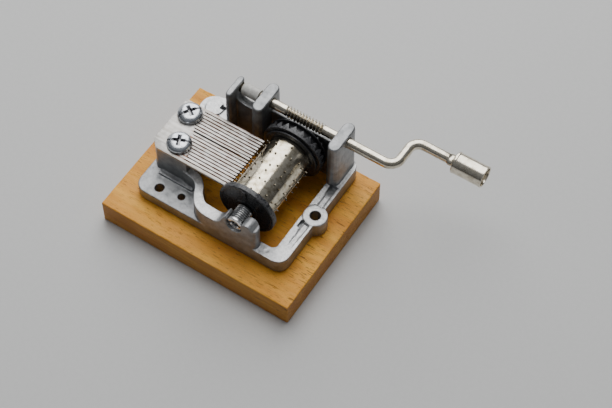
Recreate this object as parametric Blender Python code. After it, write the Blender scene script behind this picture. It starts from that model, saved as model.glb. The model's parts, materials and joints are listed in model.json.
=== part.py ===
"""Hand-cranked music movement on a wooden board.

Metres, +Z up, +X along the crank's rod towards the handle, +Y away from the viewer's side.
The origin is the centre of the board's underside, the face that the object stands on.
"""

import math

import bmesh
import bpy
import numpy as np
from mathutils import Matrix, Vector

MM = 0.001
TAU = 2 * math.pi

# Fits between pieces
SEAT_GAP = 0.3 * MM
PRESSED_GAP = 0.1 * MM
BORE_CLEARANCE = 0.12 * MM

# Board
BOARD_LENGTH = 60.0 * MM
BOARD_DEPTH = 46.5 * MM
BOARD_HEIGHT = 8.0 * MM
BOARD_EDGE = 0.5 * MM

# Casting: plan of the low frame
FRAME_LEFT = -24.4 * MM
FRAME_RIGHT = 23.6 * MM
FRAME_BEFORE_COMB = 8.25 * MM
FRAME_BEHIND_ROD = 4.9 * MM
FRAME_CORNER = 3.2 * MM
NEAR_TAB_CORNER = 3.4 * MM
BACK_STEP = 1.8 * MM
BACK_STEP_LENGTH = 1.0 * MM
BACK_STEP_FROM_POST = 4.0 * MM
EDGE_ROUND = 1.0 * MM
RAIL_HEIGHT = 4.9 * MM
RAIL_WIDTH = 4.4 * MM
RAIL_GROOVE_WIDTH = 1.3 * MM
RAIL_GROOVE_DEPTH = 0.8 * MM
RAIL_GROOVE_INSET = 2.3 * MM
RAIL_GROOVE_MARGIN = 0.4 * MM
RAIL_GROOVE_FRONT_MARGIN = 1.6 * MM
WINDOW_CORNER = 1.6 * MM
NEAR_TAB_HEIGHT = 3.5 * MM
FAR_TAB_HEIGHT = 4.6 * MM
TAB_SPLIT_OFFSET = 0.2 * MM
TAB_FLOOR_MARGIN = 0.5 * MM
FAR_EAR_RADIUS = 4.3 * MM
FAR_EAR_INSET = 2.1 * MM
FAR_RING_HEIGHT = 0.6 * MM
FAR_RING_RADIUS = 2.6 * MM
TAB_HOLE_RADIUS = 1.3 * MM
TAB_HOLE_INSET = 6.4 * MM, 3.3 * MM
TAB_PIN_HOLE_RADIUS = 1.0 * MM
TAB_PIN_HOLE_INSET = 13.0 * MM, 4.1 * MM
EYELET_RADIUS = 3.4 * MM
EYELET_HOLE_RADIUS = 1.45 * MM
EYELET_HEIGHT = 4.7 * MM
EYELET_Y = 1.9 * MM
EYELET_INSET = 1.2 * MM

# Casting: comb block, ribbon wall and front wall; the ribbon's height is over the casting's underside
BLOCK_OVER_AXIS = 0.7 * MM
BLOCK_RIGHT = -12.4 * MM
BLOCK_INSET = 0.3 * MM
BLOCK_CHAMFER = 1.7 * MM
BLOCK_ROUND = 0.8 * MM
WALL_THICKNESS = 3.4 * MM
RIBBON_HEIGHT = 8.7 * MM
RIBBON_WIDTH = 2.4 * MM
RIBBON_SPAN = 1.0 * MM, 2.8 * MM, 5.1 * MM, 6.5 * MM, 8.6 * MM, 11.2 * MM, 13.0 * MM
RIBBON_BEND = 1.2 * MM, 0.6 * MM, -1.2 * MM, -3.6 * MM
RIBBON_LANDING = 0.7 * MM, 0.05 * MM, 0.0
FRONT_WALL_START = 0.0 * MM
FRONT_WALL_END = 15.2 * MM
WALL_END_ROUND = 1.4 * MM
CHEEK_RADIUS = 1.7 * MM
CHEEK_RISE = 1.4 * MM
LOW_CHEEK_WIDTH = 0.2 * MM
LOW_CHEEK_RISE = 2.1 * MM
LOW_CHEEK_STEPS = (0.9 * MM, 0.6 * MM), (1.5 * MM, -1.1 * MM)
LOW_CHEEK_FOOT = (2.8 * MM, 0.3 * MM), (4.0 * MM, 0.0)

# Casting: posts and back walls
POST_OVER_ROD = 2.3 * MM
POST_DRAFT = 0.25 * MM
POST_EDGE = 0.3 * MM
POST_HALF_WIDTH = 1.72 * MM
POST_LENGTH = 10.5 * MM
POST_C_X = 20.4 * MM
POST_B_X = -3.4 * MM
POST_A_X = -12.35 * MM
POST_A_HALF_WIDTH = 0.92 * MM
POST_A_LENGTH = 7.6 * MM
POST_A_OFFSET = 2.0 * MM
BACK_WALL_OVER_AXIS = 4.6 * MM
BACK_WALL_THICKNESS = 2.6 * MM
SIDE_WALL_THICKNESS = 2.4 * MM
SIDE_WALL_OFFSET = 3.0 * MM
SIDE_WALL_INSET = 0.4 * MM
SIDE_WALL_LIP = 0.6 * MM
SIDE_WALL_SWEEP = (1.1 * MM, 2.2 * MM), (2.2 * MM, 0.7 * MM), (4.0 * MM, 0.0)

# Comb
COMB_TEETH = 18
COMB_WIDTH = 17.6 * MM
COMB_CENTRE_Y = 1.15 * MM
COMB_LEFT = -24.2 * MM
COMB_THICKNESS = 1.0 * MM
TOOTH_THICKNESS = 0.7 * MM
SLOT_WIDTH = 0.32 * MM
SLOT_ROOT_BASS = -17.6 * MM
SLOT_ROOT_TREBLE = -13.3 * MM
SLOT_ROOT_TURN = 4.0 * MM
TOOTH_TIP_LENGTH = 0.6 * MM
TOOTH_TIP_WIDTH = 0.42 * MM
COMB_CHAMFER = 2.2 * MM
COMB_BACK_CORNER = 0.7 * MM
COMB_FRONT_CORNER = 1.0 * MM
THINNING_OFFSET = 0.6 * MM
BASS_WEIGHTS = 7
WEIGHT_LENGTH = 2.2 * MM
WEIGHT_HEIGHT = 1.3 * MM

# Comb screws
COMB_SCREW_HEAD_RADIUS = 3.5 * MM
COMB_SCREW_HEAD_HEIGHT = 1.9 * MM
COMB_SCREW_RADIUS = 1.45 * MM
COMB_SCREW_LENGTH = 6.5 * MM
COMB_SCREW_PLACES = {"comb_screw_front": (-17.3 * MM, -3.4 * MM), "comb_screw_rear": (-20.4 * MM, 6.1 * MM)}
COMB_SCREW_TURNS = {"comb_screw_front": math.radians(24), "comb_screw_rear": math.radians(55)}
COMB_SCREW_POINT = 0.6 * MM
COMB_SCREW_DOME = 1.18 * MM
DRIVER_SLOT_WIDTH = 0.8 * MM
DRIVER_SLOT_LENGTH = 8.4 * MM
DRIVER_SLOT_DEPTH = 0.6 * MM
DRIVER_CROSS_LENGTH = 3.6 * MM
DRIVER_CROSS_DEPTH = 1.2 * MM

# Cylinder; the axis height is over the casting's underside
AXIS_X = 8.4 * MM
AXIS_HEIGHT = 11.5 * MM
CYLINDER_RADIUS = 6.5 * MM
CYLINDER_WALL = 0.6 * MM
CYLINDER_BEFORE_COMB = 0.45 * MM
CYLINDER_BEHIND_COMB = 1.15 * MM
PIN_HEIGHT = 0.6 * MM
PIN_SIZE = 0.34 * MM
PIN_TIP_SIZE = 0.27 * MM
PINS_PER_TOOTH = 5
BEATS_PER_TURN = 48
TIP_CLEARANCE = 0.15 * MM
ARBOR_RADIUS = 1.0 * MM
ARBOR_CHAMFER = 0.2 * MM
ARBOR_INSET = 1.6 * MM
CAP_RADIUS = 8.5 * MM
CAP_THICKNESS = 1.6 * MM
CAP_EDGE = 0.3 * MM
SPIGOT_LENGTH = 1.6 * MM
SPIGOT_WALL = 1.0 * MM
HUB_WALL = 1.0 * MM

# Worm wheel; its stations are over the cylinder's back end
WHEEL_TEETH = 24
MESH_RADIUS = 7.5 * MM
WHEEL_RADIUS = 9.05 * MM
WHEEL_RIM_RADIUS = 8.75 * MM
WHEEL_FLANGE_RADIUS = 8.1 * MM
WHEEL_FLANGE_THICKNESS = 0.45 * MM
WHEEL_GROOVE_RADIUS = 7.6 * MM
WHEEL_BAND_START = 0.8 * MM
WHEEL_POCKET_FLOOR = 8.0 * MM
WHEEL_NOTCH_ROOT = 2.1 * MM
WHEEL_NOTCH_TIP = 3.2 * MM
WHEEL_RIM = 4.0 * MM
WHEEL_THICKNESS = 4.4 * MM
WHEEL_TOOTH_HALF_BASE = 0.38 * MM
WHEEL_TOOTH_HALF_TIP = 0.07 * MM
WHEEL_TOOTH_SPAN = 0.85 * MM
WHEEL_TOOTH_LAND = 0.12 * MM
WHEEL_HUB_RISE = 0.3 * MM

# Crank
ROD_RADIUS = 1.4 * MM
ROD_BEHIND_WHEEL = 2.6 * MM
ROD_TIP = 0.25 * MM
ROD_SIDES = 16
WORM_OUTER = 1.6 * MM
WORM_ROOT = 1.1 * MM
WORM_TURNS = 11
WORM_TURNS_LEFT = 5
WORM_CREST_SHARE = 0.26
WORM_ROOT_SHARE = 0.26
WORM_SHOULDER = 0.35 * MM
MESH_DEPTH = 0.3 * MM
WALL_BEHIND_TEETH = 0.64 * MM
ARM_RADIUS = 10.1 * MM
ARM_START = 36.3 * MM
ARM_ADVANCE = 0.2 * MM
ARM_BEND = 3.0 * MM
ARM_BEND_STEPS = 6
CRIMP_LENGTH = 1.8 * MM
CRIMP_GAP = 0.3 * MM
CRIMP_SPREAD = 1.3
SLEEVE_RADIUS = 1.8 * MM
SLEEVE_CHAMFER = 0.45 * MM

# Knob
KNOB_START = 48.7 * MM
KNOB_LENGTH = 9.0 * MM
KNOB_RADIUS = 3.05 * MM
KNOB_WALL = 0.45 * MM
KNOB_FLOOR = 1.0 * MM
KNOB_ROUND = 0.4 * MM
RIVET_RADIUS = 2.0 * MM
RIVET_LENGTH = 1.7 * MM

# Bearing bushes
BUSH_RADIUS = 2.35 * MM
BUSH_INSET = 0.6 * MM
BUSH_CHAMFER = 0.25 * MM
BUSH_SLOT_WIDTH = 0.8 * MM
BUSH_SLOT_DEPTH = 1.0 * MM
REAR_BUSH_RADIUS = 2.0 * MM

# Screws up through the board
BASE_SCREW_PLACES = {"base_screw_left": (-17.5 * MM, 1.5 * MM), "base_screw_right": (20.4 * MM, 18.0 * MM),
                     "base_screw_front": (21.2 * MM, -13.2 * MM)}
BASE_SCREW_RADIUS = 0.85 * MM
BASE_SCREW_HEAD_RADIUS = 1.8 * MM
BASE_SCREW_HEAD_HEIGHT = 1.2 * MM
BASE_SCREW_RECESS = 0.4 * MM
BASE_SCREW_BITE = 3.2 * MM
BASE_SCREW_SLOT_WIDTH = 0.8 * MM

# Places that follow from the sizes above
COMB_FRONT = COMB_CENTRE_Y - COMB_WIDTH / 2
COMB_BACK = COMB_CENTRE_Y + COMB_WIDTH / 2
CYLINDER_FRONT = COMB_FRONT - CYLINDER_BEFORE_COMB
CYLINDER_BACK = COMB_BACK + CYLINDER_BEHIND_COMB
WHEEL_FACE = CYLINDER_BACK + WHEEL_THICKNESS
ROD_Y = WHEEL_FACE + ROD_BEHIND_WHEEL
FRAME_FRONT = COMB_FRONT - FRAME_BEFORE_COMB
FRAME_BACK = ROD_Y + FRAME_BEHIND_ROD
WINDOW_FRONT = FRAME_FRONT + WALL_THICKNESS
BUSH_FRONT = FRAME_FRONT + BUSH_INSET
FRAME_Z = BOARD_HEIGHT + SEAT_GAP
RAIL_TOP = FRAME_Z + RAIL_HEIGHT
NEAR_TAB_TOP = FRAME_Z + NEAR_TAB_HEIGHT
FAR_TAB_TOP = FRAME_Z + FAR_TAB_HEIGHT
AXIS_Z = FRAME_Z + AXIS_HEIGHT
ROD_Z = AXIS_Z + MESH_RADIUS
BLOCK_TOP = AXIS_Z + BLOCK_OVER_AXIS
RIBBON_TOP = FRAME_Z + RIBBON_HEIGHT
POST_TOP = ROD_Z + POST_OVER_ROD
BACK_WALL_TOP = AXIS_Z + BACK_WALL_OVER_AXIS
WINDOW_RIGHT = FRAME_RIGHT - RAIL_WIDTH
EYELET_X = FRAME_RIGHT - EYELET_INSET
POST_Y = FRAME_BACK - POST_DRAFT - POST_LENGTH / 2
POST_A_Y = ROD_Y - POST_A_OFFSET
COMB_Z = BLOCK_TOP + SEAT_GAP
COMB_TOP = COMB_Z + COMB_THICKNESS
TOOTH_PITCH = COMB_WIDTH / COMB_TEETH
PIN_REACH = CYLINDER_RADIUS + PIN_HEIGHT
TIP_X = AXIS_X - math.sqrt((PIN_REACH + TIP_CLEARANCE) ** 2 - (COMB_TOP - TOOTH_THICKNESS - AXIS_Z) ** 2)
WHEEL_TOOTH_TIP = ROD_Y - WORM_OUTER + MESH_DEPTH
BACK_WALL_FRONT = WHEEL_TOOTH_TIP + WALL_BEHIND_TEETH
WORM_PITCH = TAU * MESH_RADIUS / WHEEL_TEETH / 2
WORM_START = AXIS_X - (WORM_TURNS_LEFT + 0.5 + WORM_ROOT_SHARE / 2) * WORM_PITCH
CAP_BACK = CYLINDER_FRONT - PRESSED_GAP
CAP_FRONT = CAP_BACK - CAP_THICKNESS
BUSH_BACK = CAP_FRONT - SEAT_GAP


def material(name, colour, roughness, metallic):
    """Principled material with one colour."""
    made = bpy.data.materials.new(name)
    made.use_nodes = True
    shader = made.node_tree.nodes["Principled BSDF"]
    shader.inputs["Base Color"].default_value = (*colour, 1.0)
    shader.inputs["Roughness"].default_value = roughness
    shader.inputs["Metallic"].default_value = metallic
    return made


def add_object(name, mesh, finish):
    """Puts a mesh in the scene under a name, shaded smooth between its sharp edges."""
    piece = bpy.data.objects.new(name, mesh)
    bpy.context.collection.objects.link(piece)
    piece.data.materials.append(finish)
    mesh.shade_smooth()
    mesh.set_sharp_from_angle(angle=math.radians(35))
    return piece


def mesh_from(name, points, faces):
    """Closed mesh with its faces turned outwards."""
    mesh = bpy.data.meshes.new(name)
    mesh.from_pydata([tuple(p) for p in points], [], faces)
    shape = bmesh.new()
    shape.from_mesh(mesh)
    bmesh.ops.recalc_face_normals(shape, faces=shape.faces)
    shape.to_mesh(mesh)
    shape.free()
    return mesh


def loft(name, rings, finish):
    """Skin over rings of equal point counts, closed by a flat face at both ends."""
    count = len(rings[0])
    points = [p for ring in rings for p in ring]
    faces = []
    for i in range(len(rings) - 1):
        for j in range(count):
            k = (j + 1) % count
            faces.append([i * count + j, i * count + k, (i + 1) * count + k, (i + 1) * count + j])
    faces.append(list(range(count)))
    faces.append([(len(rings) - 1) * count + j for j in range(count)])
    return add_object(name, mesh_from(name, points, faces), finish)


def prism(name, outline, low, high, finish, axis="Z"):
    """Straight prism over an outline, along Z (outline in X, Y) or along Y (outline in X, Z)."""
    if axis == "Z":
        return loft(name, [[(x, y, level) for x, y in outline] for level in (low, high)], finish)
    return loft(name, [[(x, level, z) for x, z in outline] for level in (low, high)], finish)


def turned(name, profile, centre, axis, sides, finish):
    """Solid of revolution: the closed profile holds (radius, place along the axis) pairs."""
    places = {"X": lambda r, h, a: (h, r * math.cos(a), r * math.sin(a)),
              "Y": lambda r, h, a: (r * math.sin(a), h, r * math.cos(a)),
              "Z": lambda r, h, a: (r * math.cos(a), r * math.sin(a), h)}
    base = Vector(centre)
    points = []
    rows = []
    for radius, height in profile:
        if radius == 0:
            rows.append([len(points)] * sides)
            points.append(base + Vector(places[axis](0, height, 0)))
            continue
        rows.append([len(points) + j for j in range(sides)])
        points += [base + Vector(places[axis](radius, height, TAU * j / sides)) for j in range(sides)]
    faces = []
    for i, row in enumerate(rows):
        following = rows[(i + 1) % len(rows)]
        for j in range(sides):
            corners = [row[j], row[(j + 1) % sides], following[(j + 1) % sides], following[j]]
            corners = list(dict.fromkeys(corners))
            if len(corners) > 2:
                faces.append(corners)
    return add_object(name, mesh_from(name, points, faces), finish)


def bar(name, radius, low, high, centre, axis, sides, finish):
    """Plain round bar, used for shanks and as a cutter."""
    return turned(name, [(0, low), (radius, low), (radius, high), (0, high)], centre, axis, sides, finish)


def block(name, low, high, finish):
    """Box between two opposite corners."""
    outline = [(low[0], low[1]), (high[0], low[1]), (high[0], high[1]), (low[0], high[1])]
    return prism(name, outline, low[2], high[2], finish)


def combine(target, tool, operation):
    """Applies an exact Boolean with the tool and takes the tool away."""
    modifier = target.modifiers.new(operation.lower(), "BOOLEAN")
    modifier.operation = operation
    modifier.solver = "EXACT"
    modifier.object = tool
    view = bpy.context.evaluated_depsgraph_get()
    mesh = bpy.data.meshes.new_from_object(target.evaluated_get(view))
    target.modifiers.clear()
    target.data = mesh
    bpy.data.objects.remove(tool)


def add(target, *tools):
    """Joins further solids to a solid."""
    for tool in tools:
        combine(target, tool, "UNION")


def cut(target, *tools):
    """Takes solids out of a solid."""
    for tool in tools:
        combine(target, tool, "DIFFERENCE")


def rounded(corners, steps=5):
    """Outline through (x, y, radius) corners, each rounded by an arc of its radius."""
    outline = []
    for i, (x, y, radius) in enumerate(corners):
        here = Vector((x, y))
        before = (Vector(corners[i - 1][:2]) - here).normalized()
        after = (Vector(corners[(i + 1) % len(corners)][:2]) - here).normalized()
        if radius == 0:
            outline.append((x, y))
            continue
        half = before.angle(after) / 2
        centre = here + (before + after).normalized() * (radius / math.sin(half))
        start = here + before * (radius / math.tan(half)) - centre
        turn = math.pi - 2 * half
        if before.cross(after) > 0:
            turn = -turn
        for k in range(steps + 1):
            angle = turn * k / steps
            outline.append((centre.x + start.x * math.cos(angle) - start.y * math.sin(angle),
                            centre.y + start.x * math.sin(angle) + start.y * math.cos(angle)))
    return outline


def stadium(x, y, half_width, length, steps=6):
    """Long round-ended outline with its length along Y."""
    reach = length / 2 - half_width
    far = [(x + half_width * math.cos(a), y + reach + half_width * math.sin(a))
           for a in np.linspace(0, math.pi, steps + 1)]
    near = [(x + half_width * math.cos(a), y - reach + half_width * math.sin(a))
            for a in np.linspace(math.pi, TAU, steps + 1)]
    return far + near


def smooth_curve(points, steps):
    """Catmull-Rom curve through points."""
    knots = [Vector(p) for p in points]
    knots = [2 * knots[0] - knots[1], *knots, 2 * knots[-1] - knots[-2]]
    curve = []
    for i in range(1, len(knots) - 2):
        a, b, c, d = knots[i - 1:i + 3]
        for k in range(steps):
            t = k / steps
            curve.append(0.5 * (2 * b + (c - a) * t + (2 * a - 5 * b + 4 * c - d) * t * t
                                + (3 * b - a - 3 * c + d) * t ** 3))
    curve.append(knots[-2])
    return curve


def set_origin(piece, point):
    """Moves a piece's origin to a point and leaves the piece where it is."""
    piece.data.transform(Matrix.Translation(-Vector(point)))
    piece.location = point


def hang_on(pieces, axis_empty):
    """Parents pieces to the empty on their joint's axis, with their origins on it."""
    for piece in pieces:
        set_origin(piece, axis_empty.location)
        piece.location = (0, 0, 0)
        piece.parent = axis_empty


def wooden_base(wood):
    """Board with a recess and a clearance hole under each base screw."""
    half_x, half_y = BOARD_LENGTH / 2, BOARD_DEPTH / 2
    rings = []
    for level, inset in ((0, BOARD_EDGE), (BOARD_EDGE, 0), (BOARD_HEIGHT - BOARD_EDGE, 0),
                         (BOARD_HEIGHT, BOARD_EDGE)):
        x, y = half_x - inset, half_y - inset
        rings.append([(-x, -y, level), (x, -y, level), (x, y, level), (-x, y, level)])
    board = loft("wooden_base", rings, wood)
    head = BASE_SCREW_HEAD_RADIUS + SEAT_GAP
    floor = BASE_SCREW_RECESS + BASE_SCREW_HEAD_HEIGHT + SEAT_GAP
    shank = BASE_SCREW_RADIUS + SEAT_GAP
    for x, y in BASE_SCREW_PLACES.values():
        profile = [(0, -MM), (head, -MM), (head, floor), (shank, floor),
                   (shank, BOARD_HEIGHT + MM), (0, BOARD_HEIGHT + MM)]
        cut(board, turned("recess", profile, (x, y, 0), "Z", 20, wood))
    return board


def base_screws(steel):
    """Screws that hold the casting down, each with a slotted head under the board."""
    top = FRAME_Z + BASE_SCREW_BITE
    head_top = BASE_SCREW_RECESS + BASE_SCREW_HEAD_HEIGHT
    for name, (x, y) in BASE_SCREW_PLACES.items():
        profile = [(0, BASE_SCREW_RECESS), (BASE_SCREW_HEAD_RADIUS, BASE_SCREW_RECESS),
                   (BASE_SCREW_HEAD_RADIUS, head_top), (BASE_SCREW_RADIUS, head_top),
                   (BASE_SCREW_RADIUS, top - BASE_SCREW_RADIUS / 2), (BASE_SCREW_RADIUS / 2, top), (0, top)]
        screw = turned(name, profile, (x, y, 0), "Z", 20, steel)
        reach = BASE_SCREW_HEAD_RADIUS + SEAT_GAP
        half = BASE_SCREW_SLOT_WIDTH / 2
        floor = BASE_SCREW_RECESS + BASE_SCREW_HEAD_HEIGHT / 2
        cut(screw, block("slot", (x - reach, y - half, 0), (x + reach, y + half, floor), steel))


def frame_outline():
    """Outer line of the low frame, without the two round ears."""
    step_right = POST_B_X - BACK_STEP_FROM_POST
    step_left = step_right - BACK_STEP_LENGTH
    left_back = FRAME_BACK - BACK_STEP
    return rounded([(FRAME_LEFT, FRAME_FRONT, NEAR_TAB_CORNER), (FRAME_RIGHT, FRAME_FRONT, FRAME_CORNER),
                    (FRAME_RIGHT, FRAME_BACK, FRAME_CORNER), (step_right, FRAME_BACK, EDGE_ROUND),
                    (step_left, left_back, EDGE_ROUND / 2),
                    (FRAME_LEFT + FAR_EAR_RADIUS, left_back, EDGE_ROUND),
                    (FRAME_LEFT, COMB_BACK, EDGE_ROUND)])


def ribbon_line():
    """Middle line of the curved wall that runs from the comb block to the front wall, with its widths."""
    front = FRAME_FRONT + WALL_THICKNESS / 2
    depths = [COMB_FRONT + bend for bend in RIBBON_BEND] + [front + landing for landing in RIBBON_LANDING]
    places = [BLOCK_RIGHT - RIBBON_SPAN[0], *[BLOCK_RIGHT + reach for reach in RIBBON_SPAN[1:]]]
    line = smooth_curve(list(zip(places, depths)), 4)
    widths = np.interp(np.linspace(0, 1, len(line)), [0, 0.45, 0.8, 1],
                       [RIBBON_WIDTH, RIBBON_WIDTH, WALL_THICKNESS, WALL_THICKNESS])
    return line, widths


def ribbon_outline():
    """Plan of the curved wall."""
    line, widths = ribbon_line()
    left, right = [], []
    for i, here in enumerate(line):
        along = (line[min(i + 1, len(line) - 1)] - line[max(i - 1, 0)]).normalized()
        side = Vector((-along.y, along.x)) * (widths[i] / 2)
        left.append(tuple(here + side))
        right.append(tuple(here - side))
    return left + right[::-1]


def near_tab_outline():
    """Plan of the tab's floor between the comb block, the curved wall and the front edge."""
    line, _ = ribbon_line()
    edge = FRAME_FRONT + TAB_FLOOR_MARGIN
    return [tuple(p) for p in line] + [(FRONT_WALL_START, edge), (line[0].x, edge)]


def front_wall_outline():
    """Front wall seen from the front: low over the ribbon, then the cradle and its right cheek."""
    cradle = BUSH_RADIUS + PRESSED_GAP
    low_cheek = AXIS_X - cradle - LOW_CHEEK_WIDTH
    right_cheek = AXIS_X + cradle + CHEEK_RADIUS
    cheek_z = AXIS_Z + CHEEK_RISE
    outline = [(FRONT_WALL_START, FRAME_Z), (FRONT_WALL_END, FRAME_Z), (FRONT_WALL_END, cheek_z)]
    outline += [(right_cheek + CHEEK_RADIUS * math.cos(a), cheek_z + CHEEK_RADIUS * math.sin(a))
                for a in np.linspace(0.1, math.pi - 0.5, 7)]
    outline += [(AXIS_X + cradle * math.cos(a), AXIS_Z + cradle * math.sin(a))
                for a in np.linspace(math.radians(32), math.radians(-212), 17)]
    upper, lower = LOW_CHEEK_STEPS
    outline += [(low_cheek, AXIS_Z + LOW_CHEEK_RISE), (low_cheek - upper[0], AXIS_Z + upper[1])]
    foot = [(low_cheek - reach, RIBBON_TOP + rise) for reach, rise in LOW_CHEEK_FOOT]
    slope = smooth_curve([(low_cheek - lower[0], AXIS_Z + lower[1]), *foot], 3)
    return outline + [tuple(p) for p in slope] + [(FRONT_WALL_START, RIBBON_TOP)]


def drafted_post(name, x, y, half_width, length, zinc):
    """Round-ended post, a little wider at its foot and chamfered at its top."""
    foot = stadium(x, y, half_width + POST_DRAFT, length + 2 * POST_DRAFT)
    top = stadium(x, y, half_width, length)
    crown = stadium(x, y, half_width - POST_EDGE, length - 2 * POST_EDGE)
    return loft(name, [[(*p, FRAME_Z) for p in foot], [(*p, POST_TOP - POST_EDGE) for p in top],
                       [(*p, POST_TOP) for p in crown]], zinc)


def side_wall_outline():
    """Wall between the left posts, seen from the front, hollowed up to the first post."""
    left, right = POST_A_X - SIDE_WALL_INSET, POST_B_X
    top = POST_TOP - SIDE_WALL_LIP
    hollow = [(left + reach, BACK_WALL_TOP + rise) for reach, rise in SIDE_WALL_SWEEP]
    sweep = smooth_curve([(left + SIDE_WALL_LIP, top), *hollow], 3)
    outline = [(left, FRAME_Z), (right, FRAME_Z), (right, BACK_WALL_TOP)]
    return outline + [tuple(p) for p in sweep[::-1]] + [(left, top)]


def bedplate(zinc):
    """Die-cast frame: rail, tabs, ears, comb block, walls and posts in one piece, then its bores."""
    plate = prism("bedplate", frame_outline(), FRAME_Z, RAIL_TOP, zinc)
    window = rounded([(BLOCK_RIGHT, WINDOW_FRONT, 0), (WINDOW_RIGHT, WINDOW_FRONT, WINDOW_CORNER),
                      (WINDOW_RIGHT, BACK_WALL_FRONT, WINDOW_CORNER), (BLOCK_RIGHT, BACK_WALL_FRONT, 0)])
    cut(plate, prism("window", window, FRAME_Z - MM, RAIL_TOP + MM, zinc))
    bedplate_tabs(plate, zinc)
    bedplate_comb_side(plate, zinc)
    bedplate_walls(plate, zinc)
    bedplate_bores(plate, zinc)
    return plate


def bedplate_tabs(plate, zinc):
    """Lowers the two left tabs, then adds the far ear with its ring and the eyelet on the right rail."""
    tab_split = COMB_BACK + TAB_SPLIT_OFFSET
    cut(plate, block("near_tab_top", (FRAME_LEFT - MM, FRAME_FRONT - MM, NEAR_TAB_TOP),
                     (FRONT_WALL_START, tab_split, RAIL_TOP + MM), zinc))
    cut(plate, block("far_tab_top", (FRAME_LEFT - MM, tab_split, FAR_TAB_TOP),
                     (POST_A_X - 2 * POST_A_HALF_WIDTH, FRAME_BACK + MM, RAIL_TOP + MM), zinc))
    ear = (FRAME_LEFT + FAR_EAR_RADIUS, FRAME_BACK - FAR_EAR_INSET - FAR_EAR_RADIUS, 0)
    add(plate, bar("far_ear", FAR_EAR_RADIUS, FRAME_Z, FAR_TAB_TOP, ear, "Z", 28, zinc))
    ring_top = FAR_TAB_TOP + FAR_RING_HEIGHT
    add(plate, bar("far_ring", FAR_RING_RADIUS, FRAME_Z + MM, ring_top, ear, "Z", 24, zinc))
    eyelet = (EYELET_X, EYELET_Y, 0)
    add(plate, bar("eyelet", EYELET_RADIUS, FRAME_Z, FRAME_Z + EYELET_HEIGHT, eyelet, "Z", 28, zinc))


def bedplate_comb_side(plate, zinc):
    """Adds the comb's block, the tab's floor and the curved wall between them."""
    left, front, back = COMB_LEFT + BLOCK_INSET, COMB_FRONT + BLOCK_INSET, COMB_BACK - BLOCK_INSET
    seat = rounded([(left, back, BLOCK_ROUND), (left, front + BLOCK_CHAMFER, BLOCK_ROUND),
                    (left + BLOCK_CHAMFER, front, BLOCK_ROUND), (BLOCK_RIGHT, front, 0),
                    (BLOCK_RIGHT, back, 0)], 3)
    add(plate, prism("comb_block", seat, FRAME_Z, BLOCK_TOP, zinc))
    add(plate, prism("near_tab_floor", near_tab_outline(), FRAME_Z, NEAR_TAB_TOP, zinc))
    add(plate, prism("ribbon", ribbon_outline(), FRAME_Z, RIBBON_TOP, zinc))


def bedplate_walls(plate, zinc):
    """Adds the front wall with the cradle, the two back walls and the three posts."""
    front_wall = prism("front_wall", front_wall_outline(), FRAME_FRONT, WINDOW_FRONT, zinc, axis="Y")
    outside = FRONT_WALL_START - MM
    wall_plan = rounded([(outside, FRAME_FRONT, 0), (FRONT_WALL_END, FRAME_FRONT, WALL_END_ROUND),
                         (FRONT_WALL_END, WINDOW_FRONT, WALL_END_ROUND), (outside, WINDOW_FRONT, 0)])
    combine(front_wall, prism("wall_plan", wall_plan, 0, POST_TOP, zinc), "INTERSECT")
    add(plate, front_wall)
    side_front = ROD_Y - SIDE_WALL_OFFSET
    side_back = side_front + SIDE_WALL_THICKNESS
    add(plate, prism("side_wall", side_wall_outline(), side_front, side_back, zinc, axis="Y"))
    add(plate, block("back_wall", (POST_B_X, BACK_WALL_FRONT, FRAME_Z),
                     (POST_C_X, BACK_WALL_FRONT + BACK_WALL_THICKNESS, BACK_WALL_TOP), zinc))
    add(plate, drafted_post("post_c", POST_C_X, POST_Y, POST_HALF_WIDTH, POST_LENGTH, zinc),
        drafted_post("post_b", POST_B_X, POST_Y, POST_HALF_WIDTH, POST_LENGTH, zinc),
        drafted_post("post_a", POST_A_X, POST_A_Y, POST_A_HALF_WIDTH, POST_A_LENGTH, zinc))


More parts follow.
